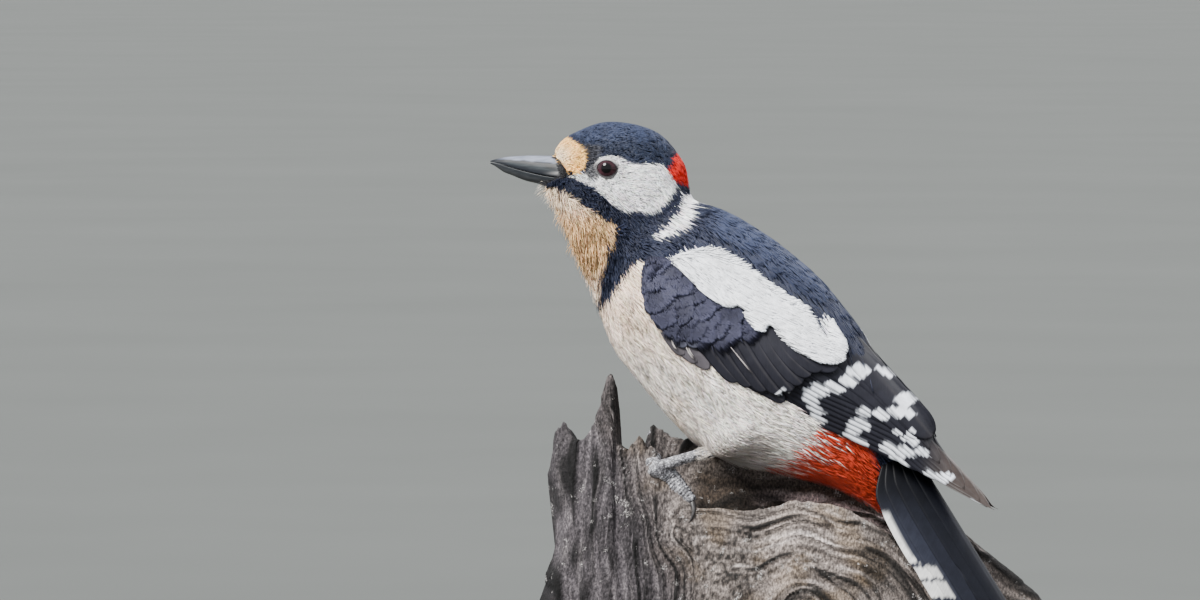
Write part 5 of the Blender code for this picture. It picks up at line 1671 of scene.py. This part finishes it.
    # painted highlights: the tips of dark tufts are painted lighter, and a few get a bluish glint
    glint = (rng.random(count) ** 3 * dark)[:, None] * np.array((0.020, 0.028, 0.050))
    tipTint = tint * (1.05 + 0.12 * shaggy + 0.3 * dark)[:, None] + glint
    unwrap = skinMap(s, t)
    ridge = coatShape["ridge"] * (1 - 0.65 * silky - 0.35 * cheek)
    edge = softened(spreadMask(wingMask, 1), 5)
    for zone, (low, high, rings) in coatZones.items():
        zoned = (s >= low) & (s < high)
        # among the short tufts, long strands keep three rings so that they bend
        strands = zoned & (length > coatShape["longest"]) & (rings == 2)
        for name, chosen, form in ((zone, zoned & ~strands, rings), (zone + "_long", strands, 3)):
            if not chosen.any():
                continue
            c = np.nonzero(chosen)[0]
            at = np.array(tuftForms[form]["at"])
            reach = at * length[c, None]
            spineS = s[c, None] + reach * np.cos(angle[c])[:, None] / here[c, None]
            spineT = t[c, None] + reach * np.sin(angle[c])[:, None] / there[c, None]
            over = np.maximum(spineS - skinS[-1] + 0.02, 0)
            spineS = np.clip(spineS, 0.0, skinS[-1] - 0.02)
            normals = unit(onSkin(spineS, spineT, outerNormal))
            spine = onSkin(spineS, spineT, outerSkin)
            spine = spine + (over * here[c, None])[..., None] * onSkin(spineS, spineT, outerAlong)
            rise = lift[c, None] * np.interp(at, (0, 0.4, 0.75, 1.0), (0, 0.45, 0.85, 1.0)) + 0.04
            rise[:, 0] = -0.85 * skinDepth(s[c])
            spine = spine + rise[..., None] * normals
            # over the shoulder and the wing's upper edge the tufts climb onto the wing
            su, sv = sideView(spine)
            across = su * lieAcross[0] + sv * lieAcross[1]
            climbs = (np.maximum(smooth(-33, -37, su), smooth(112, 118, across))
                      * smooth(0.15, 0.4, np.abs(normals[..., 1])))
            on = readMap(edge, spine[..., 0], spine[..., 2]) * climbs * (at > 0)
            target = readMap(wingFace, spine[..., 0], spine[..., 2]) + 1.5
            spine[..., 1] += np.sign(spine[..., 1]) * np.maximum(target - np.abs(spine[..., 1]), 0) * on
            tuftPieces(name, spine, normals, width[c], tint[c], tipTint[c], unwrap[c], down,
                       "head_feathers" if high <= 8.0 else "body_feathers", ridge[c])
    print("coat", count)


def skinMap(s, t):
    # a place's own spot on the skin's unwrap
    return np.stack([s / skinS[-1], (t / fullTurn) % 1.0], -1) * 0.98 + 0.01


def shortTufts(name, root, aim, length, normal, sunk, width, tint, tip, rootMap, slot, droop=0.0):
    # straight tufts with their roots sunk under the skin, their tips drooping by the square of the way along
    at = np.array(tuftForms[3]["at"])
    spine = root[:, None] + at[:, None] * length[:, None, None] * aim[:, None]
    spine[..., 2] -= at**2 * length[:, None] * droop
    spine[:, 0] -= sunk * normal
    tuftPieces(name, spine, np.repeat(normal[:, None], len(at), 1), width, tint, tint * tip, rootMap, down,
               slot)


def overPatch(name, outline, spots, heading, length, width, level, tint, tipTint, rises, ridge=0.2):
    # tufts laid over both wings' faces; their roots share a corner of the skin's unwrap
    at = np.array(tuftForms[len(rises) - 1]["at"])
    low, high = outline.min(0), outline.max(0)
    for side, label in bothSides:
        spine = np.stack([overWing(*(spots + heading * (share * length)[:, None]).T, level + rise, side)
                          for share, rise in zip(at, rises)], 1)
        normal = np.zeros_like(spine)
        normal[..., 1] = side
        rootMap = 0.05 + 0.4 * (spots - low) / (high - low) + np.array((0.25, 0.5 if side > 0 else 0.0))
        tuftPieces(f"{name}_{label}", spine, normal, width, tint, tipTint,
                   rootMap, down, "body_feathers", ridge)


def scatter(rng, outline, count):
    # even random places within an outline
    low, high = outline.min(0), outline.max(0)
    spots = low + (high - low) * rng.random((count, 2))
    return spots[inside(outline, *spots.T, 0.05) > 0.5]


def makeScapulars():
    # the white shoulder patch: silky tufts over the wing's upper part, each ending at the patch's own edge
    rng = np.random.default_rng(9)
    outline = np.array(markings["scapular"])
    spots = scatter(rng, outline, tuftCounts["shoulder"])
    count = len(spots)
    u, v = spots.T
    turn = 0.16 * noise(stacked(u, v), 6.0, 90) + rng.normal(0, 0.06, count) - 0.22 * smooth(-8, -34, u)
    # at the upper edge the strands fray outwards into the black
    above = (1 - inside(outline, u + 0.9, v + 1.6, 0.5)) * smooth(14, 9, u)
    turn = turn + above * (0.35 + 0.65 * rng.random(count))
    heading = turned(lieAlong, turn, lieAcross)
    free = np.zeros(count)
    for step in np.arange(0.5, 8.1, 0.5):
        ahead = spots + heading * step
        free = np.where((free > step - 0.6) & (inside(outline, *ahead.T, 0.05) > 0.5), step, free)
    length = np.minimum(free + 0.4 + (0.6 + 2.6 * above) * rng.random(count), 7.5)
    level = 1.9 + 0.5 * rng.random(count) - 1.7 * smooth(155, 161, spots.sum(-1))
    streak = noise(stacked(spots @ lieAlong / 7, spots @ lieAcross / 0.9), 1.0, 91, 2)
    tone = 1 + 0.06 * rng.normal(0, 1, count) + 0.10 * streak
    shadow = smooth(3.2, 0.4, free) * smooth(4, -10, spots @ lieAcross - 118)
    tint = np.asarray(colours["scapular"]) * tone[:, None] * (1 - shadow[:, None]
                                                              * np.array((0.42, 0.34, 0.22)))
    overPatch("shoulder_feathers", outline, spots, heading, length, 0.42 + 0.22 * rng.random(count), level,
              tint,
              tint * 1.05, (-0.6, 0.35, 0.42, 0.15))
    print("shoulder feathers", count)


# the small coverts at the bend of the wing
bendOutline = np.array([
    (-43, 150), (-42.9, 157), (-41, 161.4), (-37.5, 162), (-33, 160.6), (-29.5, 156.5), (-25, 152),
    (-18.5, 147), (-12, 144.5), (-9.5, 141), (-6.5, 137), (-12, 135.5), (-20, 134), (-27.5, 135.5),
    (-33, 137), (-39.5, 143),
])
bendTone = dict(size=5.2, base=(0.031, 0.032, 0.056), rim=(0.020, 0.022, 0.038))
# the pale edges of single feathers that show on the wing, from root to tip
paleEdges = [((-14.6, 133.4), (-5, 122.6)), ((-27.8, 132.6), (-24.2, 127)), ((-32.4, 134), (-30.2, 130))]


def makeBend():
    # soft dark tufts that blur the coverts at the bend of the wing into lapping scallops
    rng = np.random.default_rng(12)
    spots = scatter(rng, bendOutline, tuftCounts["bend"])
    count = len(spots)
    heading = unit(mixed((0.40, -0.92), (0.80, -0.60), smooth(-40, -12, spots[:, 0])))
    across = np.stack([-heading[:, 1], heading[:, 0]], -1)
    size = bendTone["size"]
    middle, number = nearestFeather(stacked(*spots.T), size, 85)
    a, b = (((spots - middle[:, :2]) * way).sum(-1) / size for way in (heading, across))
    heading = turned(heading, 0.55 * b + 0.12 * number + rng.normal(0, 0.07, count), across)
    length = size * np.clip(0.92 - 0.6 * a - 0.5 * b * b, 0.3, 1.25) * (0.8 + 0.4 * rng.random(count))
    rim = smooth(0.0, 0.45, a + 0.5 * b * b)[:, None]
    base = np.array(bendTone["base"]) * (1 + 0.22 * number + 0.10 * rng.normal(0, 1, count))[:, None]
    tipTint = base * 1.1 + rim * np.array(bendTone["rim"]) * (0.3 + 0.7 * rng.random(count))[:, None]
    overPatch("bend_feathers", bendOutline, spots, heading, length, 0.32 + 0.16 * rng.random(count),
              1.8 + 0.03 * number + 0.04 * a, base * (1.15 + 0.20 * rim), tipTint, (-0.7, 0.16, 0.10), 0.08)
    lines, aims, reach = [], [], []
    for root, tip in np.array(paleEdges):
        for _ in range(4):
            lines.append(root + (tip - root) * 0.35 * rng.random() + rng.normal(0, 0.16, 2))
            aims.append(unit(tip - root + rng.normal(0, 0.25, 2)))
            reach.append(np.linalg.norm(tip - lines[-1]) * (0.75 + 0.25 * rng.random()))
    pale = np.array((0.42, 0.39, 0.38)) * (0.7 + 0.4 * rng.random(len(lines)))[:, None]
    overPatch("pale_edges", bendOutline, np.array(lines), np.array(aims), np.array(reach),
              np.full(len(lines), 0.34),
              2.1, pale, pale, (-0.4, 0.2, 0.25, 0.0))
    print("bend feathers", count)


def billSide(x, z):
    # how far out the upper bill's side lies
    rows = billSections[::-1]
    top, tomium, half = (np.interp(x, rows[:, 0], rows[:, i]) for i in (1, 2, 4))
    arch = np.clip((z - tomium) / (top - tomium), 0, 1) ** (1 / 1.12)
    return half * np.sqrt(np.maximum(1 - arch**2, 0))


# the line round the bill's base from which the bristles grow, in the side view's plane
bristleLine = np.array([
    (-70.8, 195.6), (-70, 194), (-69.2, 192), (-69.2, 190), (-70.4, 188.2), (-73, 187), (-77, 186.4),
])


def makeBristles():
    # stiff tufts that lie forwards over the bill's base, and pale bristles under the chin
    rng = np.random.default_rng(21)
    for side, label in bothSides:
        count = tuftCounts["bristles"]
        share = rng.random(count) * (len(bristleLine) - 1)
        u, v = (curveThrough(bristleLine, share) + rng.normal(0, 0.45, (count, 2))).T
        u = u + 1.2 * rng.random(count)
        y = np.full(count, 4.4)
        for _ in range(5):
            x, z = fromSideView(u, v, y)
            y = billSide(x, z) + 0.9
        length = (1.6 + 1.5 * rng.random(count)) * (1 - 0.45 * smooth(2.5, 5.0, share))
        droop = rng.normal(0.02, 0.22, count) + 0.25 * smooth(193, 195.5, z) - 0.15 * smooth(190, 187, z)
        spine = []
        for part, clear in zip(tuftForms[3]["at"], (-0.6, 0.45, 0.40, 0.22)):
            alongX, alongZ = x - length * part * np.cos(droop), z + length * part * np.sin(droop)
            spine.append(np.stack([alongX, side * (billSide(alongX, alongZ) + clear), alongZ], -1))
        spine = np.stack(spine, 1)
        normal = unit(np.array((0, side, 0.3)) + 0 * spine)
        tone = (0.6 + 0.8 * rng.random(count))[:, None]
        pale = (rng.random(count) < 0.16) * smooth(192.5, 194.5, v)
        tint = mixed(np.array((0.014, 0.014, 0.017)) * tone, colours["buff"], pale)
        rootMap = np.stack([0.006 + 0.02 * rng.random(count), 0.2 + 0.1 * rng.random(count)
                            + (0.5 if side > 0 else 0)], -1)
        tuftPieces(f"bill_bristles_{label}", spine, normal, 0.16 + 0.12 * rng.random(count), tint,
                   tint * 1.6 + 0.012 * tone, rootMap, down, "head_feathers")
    count = tuftCounts["chin"]
    s = 0.1 + 2.6 * rng.random(count) ** 1.2
    t = math.pi + rng.normal(0, 0.42, count)
    root = onSkin(s, t, outerSkin)
    normal = unit(onSkin(s, t, outerNormal))
    aim = unit(stacked(-0.95 + 0.35 * s, 0.25 * np.sign(root[:, 1]), -0.30 - 0.28 * s)
               + rng.normal(0, 0.14, (count, 3)) + 0.25 * normal)
    length = 2.6 + 2.2 * rng.random(count)
    tint = np.array((0.62, 0.56, 0.47)) * (0.8 + 0.4 * rng.random(count))[:, None]
    shortTufts("chin_bristles", root, aim, length, normal, 0.4, 0.13 + 0.08 * rng.random(count), tint, 1.25,
               skinMap(s, t), "head_feathers", 0.22)
    print("bristles")


def makeCuffs():
    # short tufts round the top of each shank, where the thigh's feathers end
    rng = np.random.default_rng(33)
    count = tuftCounts["cuffs"]
    for side, label in bothSides:
        start, end = sided(feet[label]["tarsus"], side)[:2, :3]
        heading = unit(end - start)
        up = unit(np.cross(heading, (0.0, 1.0, 0.0)))
        turn = rng.random(count) * fullTurn
        normal = turned(up, turn, np.cross(heading, up))
        share = rng.random(count)
        root = start + ((5.0 * share - 4.8)[:, None]) * heading + (1.95 - 0.25 * share)[:, None] * normal
        aim = unit(heading + 0.05 * normal + rng.normal(0, 0.10, (count, 3)))
        length = 2.0 + 2.2 * rng.random(count)
        tint = np.array((0.66, 0.60, 0.54)) * (0.75 + 0.35 * rng.random(count))[:, None]
        rootMap = np.stack([0.62 + 0.03 * share, 0.30 + 0.05 * turn / 6.3 + (0.35 if side > 0 else 0)], -1)
        shortTufts(f"shank_feathers_{label}", root, aim, length, normal, 0.9,
                   0.17 + 0.10 * rng.random(count), tint, 1.1,
                   rootMap, "body_feathers")
    print("shank feathers")


makeCoat()
makeCuffs()
makeScapulars()
makeBend()
makeBristles()
